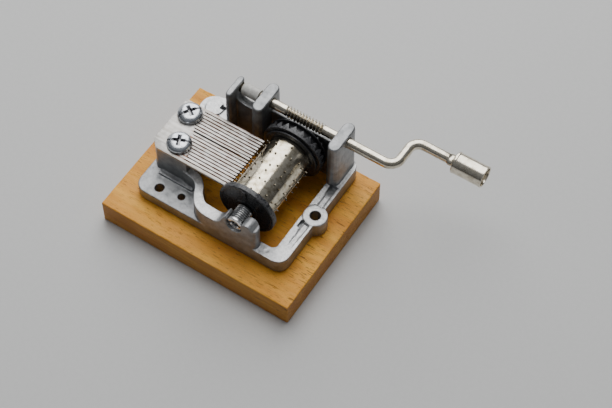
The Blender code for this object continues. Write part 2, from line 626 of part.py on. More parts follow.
def bedplate_bores(plate, zinc):
    """Holes and hollows of the casting."""
    rod_bore = ROD_RADIUS + BORE_CLEARANCE
    bore_end = POST_C_X + 2 * POST_HALF_WIDTH
    cut(plate, bar("rod_bore", rod_bore, POST_A_X - 0.1 * MM, bore_end, (0, ROD_Y, ROD_Z), "X", 24, zinc))
    cut(plate, bar("rear_bush_bore", REAR_BUSH_RADIUS + PRESSED_GAP, BACK_WALL_FRONT - MM,
                   BACK_WALL_FRONT + BACK_WALL_THICKNESS + MM, (AXIS_X, 0, AXIS_Z), "Y", 24, zinc))
    low, high = FRAME_Z - MM, RAIL_TOP + MM
    cut(plate, bar("eyelet_hole", EYELET_HOLE_RADIUS, low, high, (EYELET_X, EYELET_Y, 0), "Z", 20, zinc))
    tab_holes = (TAB_HOLE_RADIUS, TAB_HOLE_INSET), (TAB_PIN_HOLE_RADIUS, TAB_PIN_HOLE_INSET)
    for radius, (inset_x, inset_y) in tab_holes:
        centre = (FRAME_LEFT + inset_x, FRAME_FRONT + inset_y, 0)
        cut(plate, bar("tab_hole", radius, low, high, centre, "Z", 20, zinc))
    groove_x = FRAME_RIGHT - RAIL_GROOVE_INSET
    half = RAIL_GROOVE_WIDTH / 2
    corner = half * 0.9
    beside_eyelet = EYELET_RADIUS + RAIL_GROOVE_MARGIN
    for y_low, y_high in ((WINDOW_FRONT + RAIL_GROOVE_FRONT_MARGIN, EYELET_Y - beside_eyelet),
                          (EYELET_Y + beside_eyelet, POST_Y - POST_LENGTH / 2 - POST_DRAFT)):
        outline = rounded([(groove_x - half, y_low, corner), (groove_x + half, y_low, corner),
                           (groove_x + half, y_high, corner), (groove_x - half, y_high, corner)], 3)
        cut(plate, prism("groove", outline, RAIL_TOP - RAIL_GROOVE_DEPTH, high, zinc))
    for x, y in COMB_SCREW_PLACES.values():
        cut(plate, bar("comb_screw_bore", COMB_SCREW_RADIUS + BORE_CLEARANCE,
                       BLOCK_TOP - COMB_SCREW_LENGTH, BLOCK_TOP + MM, (x, y, 0), "Z", 20, zinc))
    for x, y in BASE_SCREW_PLACES.values():
        cut(plate, bar("base_screw_bore", BASE_SCREW_RADIUS + BORE_CLEARANCE, low,
                       FRAME_Z + BASE_SCREW_BITE + SEAT_GAP, (x, y, 0), "Z", 20, zinc))


def slot_root(y):
    """Where the slots between the teeth begin: further left for the long bass teeth at the back."""
    share = min(max((y - COMB_CENTRE_Y + SLOT_ROOT_TURN) / (2 * SLOT_ROOT_TURN), 0), 1)
    return SLOT_ROOT_TREBLE + (SLOT_ROOT_BASS - SLOT_ROOT_TREBLE) * share


def comb_outline():
    """Plan of the comb: the plate's rounded back, then the teeth one by one with their slots."""
    left = rounded([(TIP_X, COMB_BACK, 0), (COMB_LEFT, COMB_BACK, COMB_BACK_CORNER),
                    (COMB_LEFT, COMB_FRONT + COMB_CHAMFER, COMB_FRONT_CORNER),
                    (COMB_LEFT + COMB_CHAMFER, COMB_FRONT, COMB_FRONT_CORNER),
                    (TIP_X, COMB_FRONT, 0)], 3)[1:-1]
    shoulder = TIP_X - TOOTH_TIP_LENGTH
    teeth = []
    for i in range(COMB_TEETH):
        low = COMB_FRONT + i * TOOTH_PITCH
        middle = low + TOOTH_PITCH / 2
        near = low + (SLOT_WIDTH / 2 if i > 0 else 0)
        far = low + TOOTH_PITCH - (SLOT_WIDTH / 2 if i < COMB_TEETH - 1 else 0)
        if i > 0:
            teeth.append((slot_root(low), near))
        teeth += [(shoulder, near), (TIP_X, middle - TOOTH_TIP_WIDTH / 2),
                  (TIP_X, middle + TOOTH_TIP_WIDTH / 2), (shoulder, far)]
        if i < COMB_TEETH - 1:
            teeth.append((slot_root(low + TOOTH_PITCH), far))
    return teeth + left


def comb(steel):
    """Tuned steel comb, thinned from below along its teeth, with two screw holes."""
    plate = prism("comb", comb_outline(), COMB_Z, COMB_TOP, steel)
    cut(plate, block("thinning", (SLOT_ROOT_TREBLE + THINNING_OFFSET, COMB_FRONT - MM, COMB_Z - MM),
                     (TIP_X + MM, COMB_BACK + MM, COMB_TOP - TOOTH_THICKNESS), steel))
    for x, y in COMB_SCREW_PLACES.values():
        cut(plate, bar("hole", COMB_SCREW_RADIUS + BORE_CLEARANCE, COMB_Z - MM, COMB_TOP + MM,
                       (x, y, 0), "Z", 20, steel))
    return plate


def bass_weights(lead):
    """Lead weights under the ends of the long bass teeth, heaviest at the back."""
    top = COMB_TOP - TOOTH_THICKNESS - PRESSED_GAP
    half = TOOTH_PITCH / 2 - SLOT_WIDTH / 2
    for i in range(BASS_WEIGHTS):
        middle = COMB_BACK - (i + 0.5) * TOOTH_PITCH
        share = 1 - i / BASS_WEIGHTS
        right = TIP_X - TOOTH_TIP_LENGTH - SEAT_GAP
        length, height = WEIGHT_LENGTH * (1 + share) / 2, WEIGHT_HEIGHT * share
        block(f"bass_weight_{i + 1}", (right - length, middle - half, top - height),
              (right, middle + half, top), lead)


def comb_screws(zinc_plate):
    """Pan-head screws with a slot and a cross in the head."""
    base = COMB_TOP + PRESSED_GAP
    top = base + COMB_SCREW_HEAD_HEIGHT
    tip = BLOCK_TOP - COMB_SCREW_LENGTH + SEAT_GAP
    head = [(COMB_SCREW_HEAD_RADIUS * math.cos(a), top - COMB_SCREW_DOME * (1 - math.sin(a)))
            for a in np.linspace(math.radians(8), math.radians(78), 5)]
    profile = [(0, tip), (COMB_SCREW_RADIUS / 2, tip), (COMB_SCREW_RADIUS, tip + COMB_SCREW_POINT),
               (COMB_SCREW_RADIUS, base), (COMB_SCREW_HEAD_RADIUS - PRESSED_GAP, base), *head, (0, top)]
    for name, (x, y) in COMB_SCREW_PLACES.items():
        screw = turned(name, profile, (x, y, 0), "Z", 28, zinc_plate)
        for length, depth, quarter in ((DRIVER_SLOT_LENGTH, DRIVER_SLOT_DEPTH, 0),
                                       (DRIVER_CROSS_LENGTH, DRIVER_CROSS_DEPTH, 0),
                                       (DRIVER_CROSS_LENGTH, DRIVER_CROSS_DEPTH, 1)):
            slot = block("slot", (-length / 2, -DRIVER_SLOT_WIDTH / 2, 0),
                         (length / 2, DRIVER_SLOT_WIDTH / 2, depth + MM), zinc_plate)
            turn = Matrix.Rotation(COMB_SCREW_TURNS[name] + quarter * TAU / 4, 4, "Z")
            slot.data.transform(Matrix.Translation((x, y, top - depth)) @ turn)
            cut(screw, slot)


def pin_places():
    """Angle and place along the axis of each pin, under the middle of its tooth.

    The turn is divided into equal beats, and no tooth has two pins on one beat.
    """
    places = []
    for tooth in range(COMB_TEETH):
        y = COMB_FRONT + (tooth + 0.5) * TOOTH_PITCH
        beats = {(5 * tooth + 11 * k + 2 * k * k) % BEATS_PER_TURN for k in range(PINS_PER_TOOTH)}
        places += [(TAU * beat / BEATS_PER_TURN, y) for beat in sorted(beats)]
    return places


def cylinder_drum(nickel):
    """Pinned tube: every pin is a small square peg that stands out of the wall."""
    inner = CYLINDER_RADIUS - CYLINDER_WALL
    profile = [(CYLINDER_RADIUS, CYLINDER_FRONT), (CYLINDER_RADIUS, CYLINDER_BACK),
               (inner, CYLINDER_BACK), (inner, CYLINDER_FRONT)]
    drum = turned("cylinder_drum", profile, (AXIS_X, 0, AXIS_Z), "Y", 60, nickel)
    points, faces = [], []
    foot, top = CYLINDER_RADIUS - CYLINDER_WALL / 2, PIN_REACH
    for angle, y in pin_places():
        outward = Vector((math.sin(angle), 0, math.cos(angle)))
        sideways = Vector((math.cos(angle), 0, -math.sin(angle)))
        start = len(points)
        for radius, half in ((foot, PIN_SIZE / 2), (top, PIN_TIP_SIZE / 2)):
            for u, v in ((-1, -1), (1, -1), (1, 1), (-1, 1)):
                point = Vector((AXIS_X, y, AXIS_Z)) + outward * radius + sideways * (u * half)
                points.append(point + Vector((0, v * half, 0)))
        faces += [[start + i for i in face] for face in
                  ((0, 1, 2, 3), (4, 5, 6, 7), (0, 1, 5, 4), (1, 2, 6, 5), (2, 3, 7, 6), (3, 0, 4, 7))]
    add(drum, add_object("pins", mesh_from("pins", points, faces), nickel))
    return drum


def end_cap(plastic):
    """Black cap on the near end, with a spigot in the drum and a hub for the arbor."""
    bore = ARBOR_RADIUS + PRESSED_GAP
    spigot = CYLINDER_RADIUS - CYLINDER_WALL - PRESSED_GAP
    end = CAP_BACK + SPIGOT_LENGTH
    profile = [(bore, CAP_FRONT), (CAP_RADIUS - CAP_EDGE, CAP_FRONT), (CAP_RADIUS, CAP_FRONT + CAP_EDGE),
               (CAP_RADIUS, CAP_BACK), (spigot, CAP_BACK), (spigot, end), (spigot - SPIGOT_WALL, end),
               (spigot - SPIGOT_WALL, CAP_BACK), (bore + HUB_WALL, CAP_BACK), (bore + HUB_WALL, end),
               (bore, end)]
    return turned("cylinder_end_cap", profile, (AXIS_X, 0, AXIS_Z), "Y", 40, plastic)


def wheel_rings():
    """Stations of the worm wheel from its spigot to its hub.

    Four columns per tooth: two at the foot of the tooth and two at its tip. The notched band and the
    pointed teeth on the far face share these columns.
    """
    bore = ARBOR_RADIUS + PRESSED_GAP
    spigot = CYLINDER_RADIUS - CYLINDER_WALL - PRESSED_GAP
    start = CYLINDER_BACK + PRESSED_GAP
    flange_end = start + WHEEL_FLANGE_THICKNESS
    band, rim = CYLINDER_BACK + WHEEL_BAND_START, CYLINDER_BACK + WHEEL_RIM
    notch = CYLINDER_BACK + WHEEL_NOTCH_TIP, CYLINDER_BACK + WHEEL_NOTCH_ROOT
    far = WHEEL_FACE
    tooth = WHEEL_TOOTH_TIP, far
    hub = bore + HUB_WALL
    return [(bore, start - SPIGOT_LENGTH), (spigot, start - SPIGOT_LENGTH), (spigot, start),
            (WHEEL_FLANGE_RADIUS, start), (WHEEL_FLANGE_RADIUS, flange_end),
            (WHEEL_GROOVE_RADIUS, flange_end), (WHEEL_GROOVE_RADIUS, band), (WHEEL_RADIUS, band),
            (WHEEL_RADIUS, notch), (WHEEL_POCKET_FLOOR, notch), (WHEEL_POCKET_FLOOR, rim),
            (WHEEL_RIM_RADIUS, rim), (WHEEL_RIM_RADIUS, far), (MESH_RADIUS + WHEEL_TOOTH_SPAN, far),
            (MESH_RADIUS + WHEEL_TOOTH_LAND, tooth), (MESH_RADIUS - WHEEL_TOOTH_LAND, tooth),
            (MESH_RADIUS - WHEEL_TOOTH_SPAN, far), (hub, far), (hub, far + WHEEL_HUB_RISE),
            (bore, far + WHEEL_HUB_RISE)]


def worm_wheel(plastic):
    """Black worm wheel: notched band, rim, and pointed teeth on its far face that the worm drives."""
    points, faces = [], []
    rings = wheel_rings()
    columns = []
    for tooth in range(WHEEL_TEETH):
        middle = TAU * tooth / WHEEL_TEETH
        for offset, is_tip in ((-WHEEL_TOOTH_HALF_BASE, False), (-WHEEL_TOOTH_HALF_TIP, True),
                               (WHEEL_TOOTH_HALF_TIP, True), (WHEEL_TOOTH_HALF_BASE, False)):
            columns.append((middle + offset / MESH_RADIUS, is_tip))
    for angle, is_tip in columns:
        for radius, place in rings:
            if isinstance(place, tuple):
                place = place[0] if is_tip else place[1]
            points.append((AXIS_X + radius * math.sin(angle), place, AXIS_Z + radius * math.cos(angle)))
    count = len(rings)
    for c in range(len(columns)):
        here, there = c * count, (c + 1) % len(columns) * count
        for i in range(count):
            j = (i + 1) % count
            faces.append([here + i, here + j, there + j, there + i])
    return add_object("worm_wheel", mesh_from("worm_wheel", points, faces), plastic)


def arbor(steel):
    """Shaft through the drum, from inside the slotted bush to inside the rear bush."""
    far = BACK_WALL_FRONT + BACK_WALL_THICKNESS - ARBOR_CHAMFER
    near = BUSH_FRONT + ARBOR_INSET
    end = ARBOR_RADIUS - ARBOR_CHAMFER
    profile = [(0, near), (end, near), (ARBOR_RADIUS, near + ARBOR_CHAMFER),
               (ARBOR_RADIUS, far - ARBOR_CHAMFER), (end, far), (0, far)]
    return turned("arbor", profile, (AXIS_X, 0, AXIS_Z), "Y", 20, steel)


def front_bush(steel):
    """Slotted bearing bush clamped in the cradle; the arbor turns in its bore."""
    bore = ARBOR_RADIUS + BORE_CLEARANCE
    end = BUSH_RADIUS - BUSH_CHAMFER
    profile = [(bore, BUSH_FRONT), (end, BUSH_FRONT), (BUSH_RADIUS, BUSH_FRONT + BUSH_CHAMFER),
               (BUSH_RADIUS, BUSH_BACK - BUSH_CHAMFER), (end, BUSH_BACK), (bore, BUSH_BACK)]
    bush = turned("front_bush", profile, (AXIS_X, 0, AXIS_Z), "Y", 28, steel)
    half = BUSH_SLOT_WIDTH / 2
    cut(bush, block("slot", (AXIS_X - 2 * BUSH_RADIUS, BUSH_FRONT - MM, AXIS_Z - half),
                    (AXIS_X + 2 * BUSH_RADIUS, BUSH_FRONT + BUSH_SLOT_DEPTH, AXIS_Z + half), steel))
    return bush


def rear_bush(brass):
    """Plain bush pressed into the back wall."""
    bore = ARBOR_RADIUS + BORE_CLEARANCE
    front = WHEEL_FACE + WHEEL_HUB_RISE + SEAT_GAP
    back = BACK_WALL_FRONT + BACK_WALL_THICKNESS
    profile = [(bore, front), (REAR_BUSH_RADIUS, front), (REAR_BUSH_RADIUS, back), (bore, back)]
    return turned("rear_bush", profile, (AXIS_X, 0, AXIS_Z), "Y", 24, brass)


def crank_path():
    """Stations of the rod's middle line in the level of its axis.

    Each holds x, y, the direction's angle and the radius, and in the crimp before the knob how much
    wider than high the rod is.
    """
    left = POST_A_X + 0.2 * MM
    slope = math.atan2(ARM_RADIUS, ARM_ADVANCE)
    run = ARM_BEND * math.tan(slope / 2)
    first, second = ARM_START, ARM_START + ARM_ADVANCE
    worm_end = WORM_START + (WORM_TURNS + 1) * WORM_PITCH
    before = [(left, 0, 0, ROD_RADIUS - ROD_TIP), (left + ROD_TIP, 0, 0, ROD_RADIUS),
              (WORM_START - WORM_SHOULDER, 0, 0, ROD_RADIUS)]
    after = [(worm_end + WORM_SHOULDER, 0, 0, ROD_RADIUS)]
    turns = [slope * k / ARM_BEND_STEPS for k in range(ARM_BEND_STEPS + 1)]
    for a in turns:
        after.append((first - run + ARM_BEND * math.sin(a), ARM_BEND * (1 - math.cos(a)), a, ROD_RADIUS))
    for a in turns[::-1]:
        y = ARM_RADIUS - ARM_BEND * (1 - math.cos(a))
        after.append((second + run - ARM_BEND * math.sin(a), y, a, ROD_RADIUS))
    crimp_end = KNOB_START - CRIMP_GAP
    for share, spread in ((0, 1), (0.3, CRIMP_SPREAD), (0.8, CRIMP_SPREAD), (1, 1)):
        after.append((crimp_end - CRIMP_LENGTH * (1 - share), ARM_RADIUS, 0, ROD_RADIUS, spread))
    rivet = KNOB_START + KNOB_FLOOR + BORE_CLEARANCE
    after += [(rivet, ARM_RADIUS, 0, ROD_RADIUS), (rivet, ARM_RADIUS, 0, RIVET_RADIUS),
              (rivet + RIVET_LENGTH - ROD_TIP, ARM_RADIUS, 0, RIVET_RADIUS),
              (rivet + RIVET_LENGTH, ARM_RADIUS, 0, RIVET_RADIUS - ROD_TIP)]
    return before, after


def rod_ring(x, y, angle, radius, spread=1):
    """Ring of points round the rod, square to its direction, and as much lower as it is spread wider."""
    ring = []
    for j in range(ROD_SIDES):
        a = TAU * j / ROD_SIDES
        side = radius * spread * math.cos(a)
        height = radius / spread * math.sin(a)
        ring.append((x - side * math.sin(angle), ROD_Y + y + side * math.cos(angle), ROD_Z + height))
    return ring


def worm_radius(place):
    """Thread profile over one pitch: flat root, flank, flat crest, flank."""
    flank = (1 - WORM_CREST_SHARE - WORM_ROOT_SHARE) / 2
    knots = [0, WORM_ROOT_SHARE, WORM_ROOT_SHARE + flank, WORM_ROOT_SHARE + flank + WORM_CREST_SHARE, 1]
    return float(np.interp(place % 1, knots, [WORM_ROOT, WORM_ROOT, WORM_OUTER, WORM_OUTER, WORM_ROOT]))


def crank(nickel):
    """Bent rod with the worm rolled on it.

    The worm's points lie on a sheared lattice: the station (i, j) sits at the angle j, and its place along
    the rod grows by one pitch per turn, so each row of stations follows the helix. The first and the last
    rows step back by one pitch where the turn closes, and they meet a plain ring of the rod there.
    """
    flank = (1 - WORM_CREST_SHARE - WORM_ROOT_SHARE) / 2
    shares = [0, WORM_ROOT_SHARE, WORM_ROOT_SHARE + flank, WORM_ROOT_SHARE + flank + WORM_CREST_SHARE]
    per_turn = len(shares)
    before, after = crank_path()
    points, faces = [], []

    def put(ring):
        points.extend(ring)
        return list(range(len(points) - len(ring), len(points)))

    def skin(near, far):
        for j in range(ROD_SIDES):
            k = (j + 1) % ROD_SIDES
            faces.append([near[j], near[k], far[k], far[j]])

    rows = [put(rod_ring(*station)) for station in before]
    for near, far in zip(rows, rows[1:]):
        skin(near, far)
    faces.append(rows[0])
    stations = per_turn * WORM_TURNS + 1
    lattice = {}
    for i in range(stations + per_turn):
        for j in range(ROD_SIDES if i < stations else 1):
            share = i // per_turn + shares[i % per_turn]
            x = WORM_START + (share + j / ROD_SIDES) * WORM_PITCH
            lattice[i, j] = len(points)
            points.append(rod_ring(x, 0, 0, worm_radius(share))[j])
    for i in range(stations - 1):
        for j in range(ROD_SIDES - 1):
            faces.append([lattice[i, j], lattice[i, j + 1], lattice[i + 1, j + 1], lattice[i + 1, j]])
        last = ROD_SIDES - 1
        above = i + per_turn
        faces.append([lattice[i, last], lattice[above, 0], lattice[above + 1, 0], lattice[i + 1, last]])
    start = rows[-1]
    for j in range(ROD_SIDES - 1):
        faces.append([start[j], start[j + 1], lattice[0, j + 1], lattice[0, j]])
    faces.append([start[-1], start[0], lattice[per_turn, 0], lattice[0, ROD_SIDES - 1]])
    for i in range(per_turn):
        faces.append([start[0], lattice[i, 0], lattice[i + 1, 0]])
    rows = [put(rod_ring(*station)) for station in after]
    final = stations - 1
    for j in range(ROD_SIDES - 1):
        faces.append([rows[0][j], rows[0][j + 1], lattice[final, j + 1], lattice[final, j]])
    faces.append([rows[0][-1], rows[0][0], lattice[final + per_turn, 0], lattice[final, ROD_SIDES - 1]])
    for i in range(per_turn):
        faces.append([rows[0][0], lattice[final + i, 0], lattice[final + i + 1, 0]])
    for near, far in zip(rows, rows[1:]):
        skin(near, far)
    faces.append(rows[-1])
    return add_object("crank", mesh_from("crank", points, faces), nickel)


def thrust_sleeve(plastic):
    """Pale sleeve on the rod between the two left posts."""
    bore = ROD_RADIUS + PRESSED_GAP
    left = POST_A_X + POST_A_HALF_WIDTH + POST_DRAFT + SEAT_GAP
    right = POST_B_X - POST_HALF_WIDTH - POST_DRAFT - SEAT_GAP
    profile = [(bore, left), (SLEEVE_RADIUS - SLEEVE_CHAMFER / 2, left),
               (SLEEVE_RADIUS, left + SLEEVE_CHAMFER), (SLEEVE_RADIUS, right), (bore, right)]
    return turned("thrust_sleeve", profile, (0, ROD_Y, ROD_Z), "X", 24, plastic)


def crank_knob(nickel):
    """Drawn metal cup that turns on the handle; the handle's riveted head holds its floor."""
    hole = ROD_RADIUS + BORE_CLEARANCE
    inner = KNOB_RADIUS - KNOB_WALL
    end = KNOB_START + KNOB_LENGTH
    floor = KNOB_START + KNOB_FLOOR
    corner = [(KNOB_RADIUS - KNOB_ROUND * (1 - math.sin(a)), KNOB_START + KNOB_ROUND * (1 - math.cos(a)))
              for a in (0, TAU / 8, TAU / 4)]
    profile = [(hole, KNOB_START), *corner, (KNOB_RADIUS, end), (inner, end), (inner, floor), (hole, floor)]
    return turned("crank_knob", profile, (0, ROD_Y + ARM_RADIUS, ROD_Z), "X", 32, nickel)


def empty(name, place, parent=None):
    """Empty that marks a joint's axis."""
    marker = bpy.data.objects.new(name, None)
    bpy.context.collection.objects.link(marker)
    marker.location = place
    marker.parent = parent
    return marker


def main():
    """Builds every piece and hangs the moving ones on their axes."""
    for old in list(bpy.data.objects):
        bpy.data.objects.remove(old)
    wood = material("wood", (0.55, 0.32, 0.12), 0.7, 0.0)
    zinc = material("cast_zinc", (0.55, 0.56, 0.57), 0.45, 1.0)
    comb_steel = material("comb_steel", (0.62, 0.60, 0.56), 0.35, 1.0)
    zinc_plate = material("zinc_plated_steel", (0.72, 0.74, 0.76), 0.25, 1.0)
    nickel = material("nickel_plate", (0.72, 0.66, 0.56), 0.18, 1.0)
    dark_steel = material("turned_steel", (0.42, 0.43, 0.45), 0.35, 1.0)
    plastic = material("black_plastic", (0.02, 0.02, 0.022), 0.35, 0.0)
    pale_plastic = material("pale_plastic", (0.6, 0.6, 0.58), 0.6, 0.0)
    brass = material("brass", (0.75, 0.6, 0.3), 0.3, 1.0)
    lead = material("lead", (0.3, 0.3, 0.32), 0.6, 1.0)

    wooden_base(wood)
    base_screws(dark_steel)
    bedplate(zinc)
    comb(comb_steel)
    bass_weights(lead)
    comb_screws(zinc_plate)
    front_bush(dark_steel)
    rear_bush(brass)

    crank_axis = empty("crank_axis", (0, ROD_Y, ROD_Z))
    knob_axis = empty("knob_axis", (KNOB_START, ARM_RADIUS, 0), crank_axis)
    cylinder_axis = empty("cylinder_axis", (AXIS_X, 0, AXIS_Z))
    hang_on([cylinder_drum(nickel), end_cap(plastic), worm_wheel(plastic), arbor(dark_steel)], cylinder_axis)
    hang_on([crank(nickel), thrust_sleeve(pale_plastic)], crank_axis)
    knob = crank_knob(nickel)
    set_origin(knob, (KNOB_START, ROD_Y + ARM_RADIUS, ROD_Z))
    knob.location = (0, 0, 0)
    knob.parent = knob_axis


main()
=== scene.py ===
"""Visible surfaces of the hand-cranked music movement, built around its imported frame.

Metres, +Z up, in the frame's own place: the board stands on Z 0, the crank's rod runs along X and the
pinned cylinder along Y. The file is laid out as an add-on, and main() runs its operators in order.
"""

import itertools
import json
import math

import bmesh
import bpy
import numpy as np
from bpy.props import FloatProperty, FloatVectorProperty, IntProperty, PointerProperty
from mathutils import Matrix, Vector


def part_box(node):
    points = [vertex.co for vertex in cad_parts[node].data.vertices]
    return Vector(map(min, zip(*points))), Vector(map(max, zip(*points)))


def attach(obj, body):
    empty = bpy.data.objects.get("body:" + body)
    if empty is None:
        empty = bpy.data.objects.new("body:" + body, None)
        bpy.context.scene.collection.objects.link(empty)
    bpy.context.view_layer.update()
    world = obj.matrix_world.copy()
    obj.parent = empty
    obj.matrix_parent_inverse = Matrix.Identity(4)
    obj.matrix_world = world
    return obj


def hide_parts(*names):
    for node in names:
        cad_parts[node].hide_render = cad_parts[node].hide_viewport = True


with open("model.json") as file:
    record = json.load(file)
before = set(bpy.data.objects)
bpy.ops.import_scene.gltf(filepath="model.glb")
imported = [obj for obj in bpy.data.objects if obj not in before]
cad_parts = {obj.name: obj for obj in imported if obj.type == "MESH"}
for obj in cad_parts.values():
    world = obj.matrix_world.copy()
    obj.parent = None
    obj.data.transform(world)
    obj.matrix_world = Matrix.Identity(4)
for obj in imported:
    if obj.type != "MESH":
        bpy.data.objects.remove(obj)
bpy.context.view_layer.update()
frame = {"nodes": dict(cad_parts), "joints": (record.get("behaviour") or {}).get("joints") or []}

bl_info = {
    "name": "Hand-cranked music movement",
    "version": (1, 0, 0),
    "blender": (4, 5, 0),
    "location": "View3D > Sidebar > Music box",
    "description": "Builds the visible surfaces of a pinned-cylinder music movement around its packed frame",
    "category": "Add Mesh",
}

MM = 0.001
TAU = 2 * math.pi
MARK = "mark"
COMB_SCREWS = ("comb_screw_front", "comb_screw_rear")
BASE_SCREWS = ("base_screw_left", "base_screw_right", "base_screw_front")

# Axes of the moving bodies, from the frame's joints
JOINT_PLACES = {joint["name"]: np.array(joint["pos_m"]) for joint in frame["joints"]}
AXIS_X, AXIS_Z = JOINT_PLACES["cylinder_turn"][[0, 2]]
CYLINDER_CENTRE = (AXIS_X, 0, AXIS_Z)
ROD_AXIS = JOINT_PLACES["crank_turn"]
ROD_CENTRE = (0, ROD_AXIS[1], ROD_AXIS[2])
KNOB_AXIS = JOINT_PLACES["knob_turn"]

# Counts and sizes that the frame's boxes can't give; slots are counted from the front
TEETH = 18
WIDE_SLOT = 10
DRUM_RADIUS = 6.5 * MM
SPIGOT_RADIUS = DRUM_RADIUS - 0.7 * MM
ARBOR_RADIUS = 1.0 * MM
RUNNING_GAP = 0.12 * MM
PRESSED_GAP = 0.1 * MM
ROD_RADIUS = 1.4 * MM
RIVET_RADIUS = 2 * MM
WHEEL_TEETH = 24
MESH_RADIUS = ROD_AXIS[2] - AXIS_Z
WORM_PITCH = TAU * MESH_RADIUS / WHEEL_TEETH / 2
WORM_TURNS = 11
WORM_OUTER = 1.6 * MM
WORM_ROOT = 1.02 * MM
WORM_START = AXIS_X - 5.63 * WORM_PITCH


def in_mm(*rows):
    """Rows of numbers in millimetres as a list of rows in metres."""
    return [tuple(number * MM for number in row) for row in rows]


# Rusty spots on the comb: x, y and the reach along X, Y and Z
RUST_SPOTS = in_mm((-16.6, 8.9, 1.6, 0.4, 1), (-14.3, -0.9, 0.45, 0.45, 0.45), (-13.0, -2.7, 1.9, 0.35, 1),
                   (-13.3, -5.3, 0.5, 0.5, 0.5), (-3.8, 2.35, 5.5, 0.3, 1), (1.6, 1.5, 0.5, 9, 1))


def span(node):
    """Lowest and highest corner of a CAD node, as arrays."""
    low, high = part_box(node)
    return np.array(low), np.array(high)


# Meshes from points and faces

def mesh_of(name, *surfaces, marks=None):
    """One mesh from (points, quads) surfaces, with doubled points merged and its faces turned outwards.

    Marks are one number for each point, kept as an attribute that the finish can read.
    """
    starts = np.cumsum([0] + [len(points) for points, _ in surfaces])
    points = np.concatenate([points for points, _ in surfaces])
    faces = np.concatenate([faces + start for (_, faces), start in zip(surfaces, starts)])
    mesh = bpy.data.meshes.new(name)
    mesh.vertices.add(len(points))
    mesh.vertices.foreach_set("co", points.astype(np.float32).ravel())
    mesh.loops.add(faces.size)
    mesh.loops.foreach_set("vertex_index", faces.astype(np.int32).ravel())
    mesh.polygons.add(len(faces))
    mesh.polygons.foreach_set("loop_start", np.arange(0, faces.size, faces.shape[1], dtype=np.int32))
    if marks is not None:
        kept = mesh.attributes.new(MARK, "FLOAT", "POINT")
        kept.data.foreach_set("value", np.asarray(marks, np.float32).ravel())
    mesh.update(calc_edges=True)
    mesh.validate()
    return tidied(mesh)


def tidied(mesh, merge=1e-7):
    """Merges doubled points of a closed mesh and turns its faces outwards."""
    shape = bmesh.new()
    shape.from_mesh(mesh)
    bmesh.ops.remove_doubles(shape, verts=shape.verts, dist=merge)
    bmesh.ops.recalc_face_normals(shape, faces=shape.faces)
    shape.to_mesh(mesh)
    shape.free()
    return mesh


def placed(name, data):
    """New object in the scene that holds the data."""
    made = bpy.data.objects.new(name, data)
    bpy.context.scene.collection.objects.link(made)
    return made


def add_piece(name, mesh, finish, body, node, sharp=32):
    """Puts a finished mesh in place of its CAD node, smooth between edges sharper than an angle."""
    piece = placed(name, mesh)
    mesh.materials.clear()
    mesh.materials.append(finish)
    mesh.shade_smooth()
    mesh.set_sharp_from_angle(angle=math.radians(sharp))
    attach(piece, body)
    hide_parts(node)


def evaluated(holder):
    """Mesh of an object as its modifiers or its bevel leave it; the object is removed."""
    view = bpy.context.evaluated_depsgraph_get()
    made = bpy.data.meshes.new_from_object(holder.evaluated_get(view))
    bpy.data.objects.remove(holder)
    return made


def applied(mesh, *steps):
    """Mesh after a stack of modifiers, each step given as (kind, settings)."""
    holder = placed("holder", mesh)
    for kind, settings in steps:
        modifier = holder.modifiers.new(kind.lower(), kind)
        for key, value in settings.items():
            setattr(modifier, key, value)
    return evaluated(holder)


def carved(mesh, *cutters, operation="DIFFERENCE"):
    """Mesh with cutter meshes taken out of it, or joined to it, by exact Booleans."""
    holders = [placed("cutter", cutter) for cutter in cutters]
    settings = {"operation": operation, "solver": "EXACT"}
    made = applied(mesh, *[("BOOLEAN", {**settings, "object": holder}) for holder in holders])
    for holder in holders:
        bpy.data.objects.remove(holder)
    return made


# Surfaces of two parameters

def grid_faces(rows, columns, close_rows=False, close_columns=True):
    """Quads of a grid whose point (i, j) is number i * columns + j.

    A closed direction joins its last line to its first.
    """
    i = np.arange(rows if close_rows else rows - 1)[:, None]
    j = np.arange(columns if close_columns else columns - 1)[None, :]
    i_next, j_next = (i + 1) % rows, (j + 1) % columns
    corners = [i * columns + j, i * columns + j_next, i_next * columns + j_next, i_next * columns + j]
    return np.stack(np.broadcast_arrays(*corners), -1).reshape(-1, 4)


def rounded(corners, steps=4):
    """Outline through (x, y, radius) corners: each becomes the arc of its radius that touches both sides."""
    places = [complex(x, y) for x, y, _ in corners]
    outline = []
    for i, (here, (_, _, radius)) in enumerate(zip(places, corners)):
        if radius == 0:
            outline.append(here)
            continue
        before, after = places[i - 1] - here, places[(i + 1) % len(places)] - here
        before, after = before / abs(before), after / abs(after)
        half = abs(np.angle(after / before)) / 2
        centre = here + (before + after) / abs(before + after) * radius / math.sin(half)
        start = here + before * radius / math.tan(half) - centre
        finish = here + after * radius / math.tan(half) - centre
        turn = np.angle(finish / start)
        outline += [centre + start * np.exp(1j * turn * k / steps) for k in range(steps + 1)]
    return np.array([[p.real, p.imag] for p in outline])


def ring_profile(inner, outer, low, high, radii):
    """Profile of a tube or shaft: a rectangle with its corner radii, round from the inner low corner."""
    corners = [(inner, low), (outer, low), (outer, high), (inner, high)]
    return rounded([(*corner, radius * MM) for corner, radius in zip(corners, radii)])


def across(axis):
    """Matrix whose rows are the two directions across an axis and the axis itself, right-handed."""
    return np.roll(np.eye(3), -("XYZ".index(axis) + 1), axis=0)


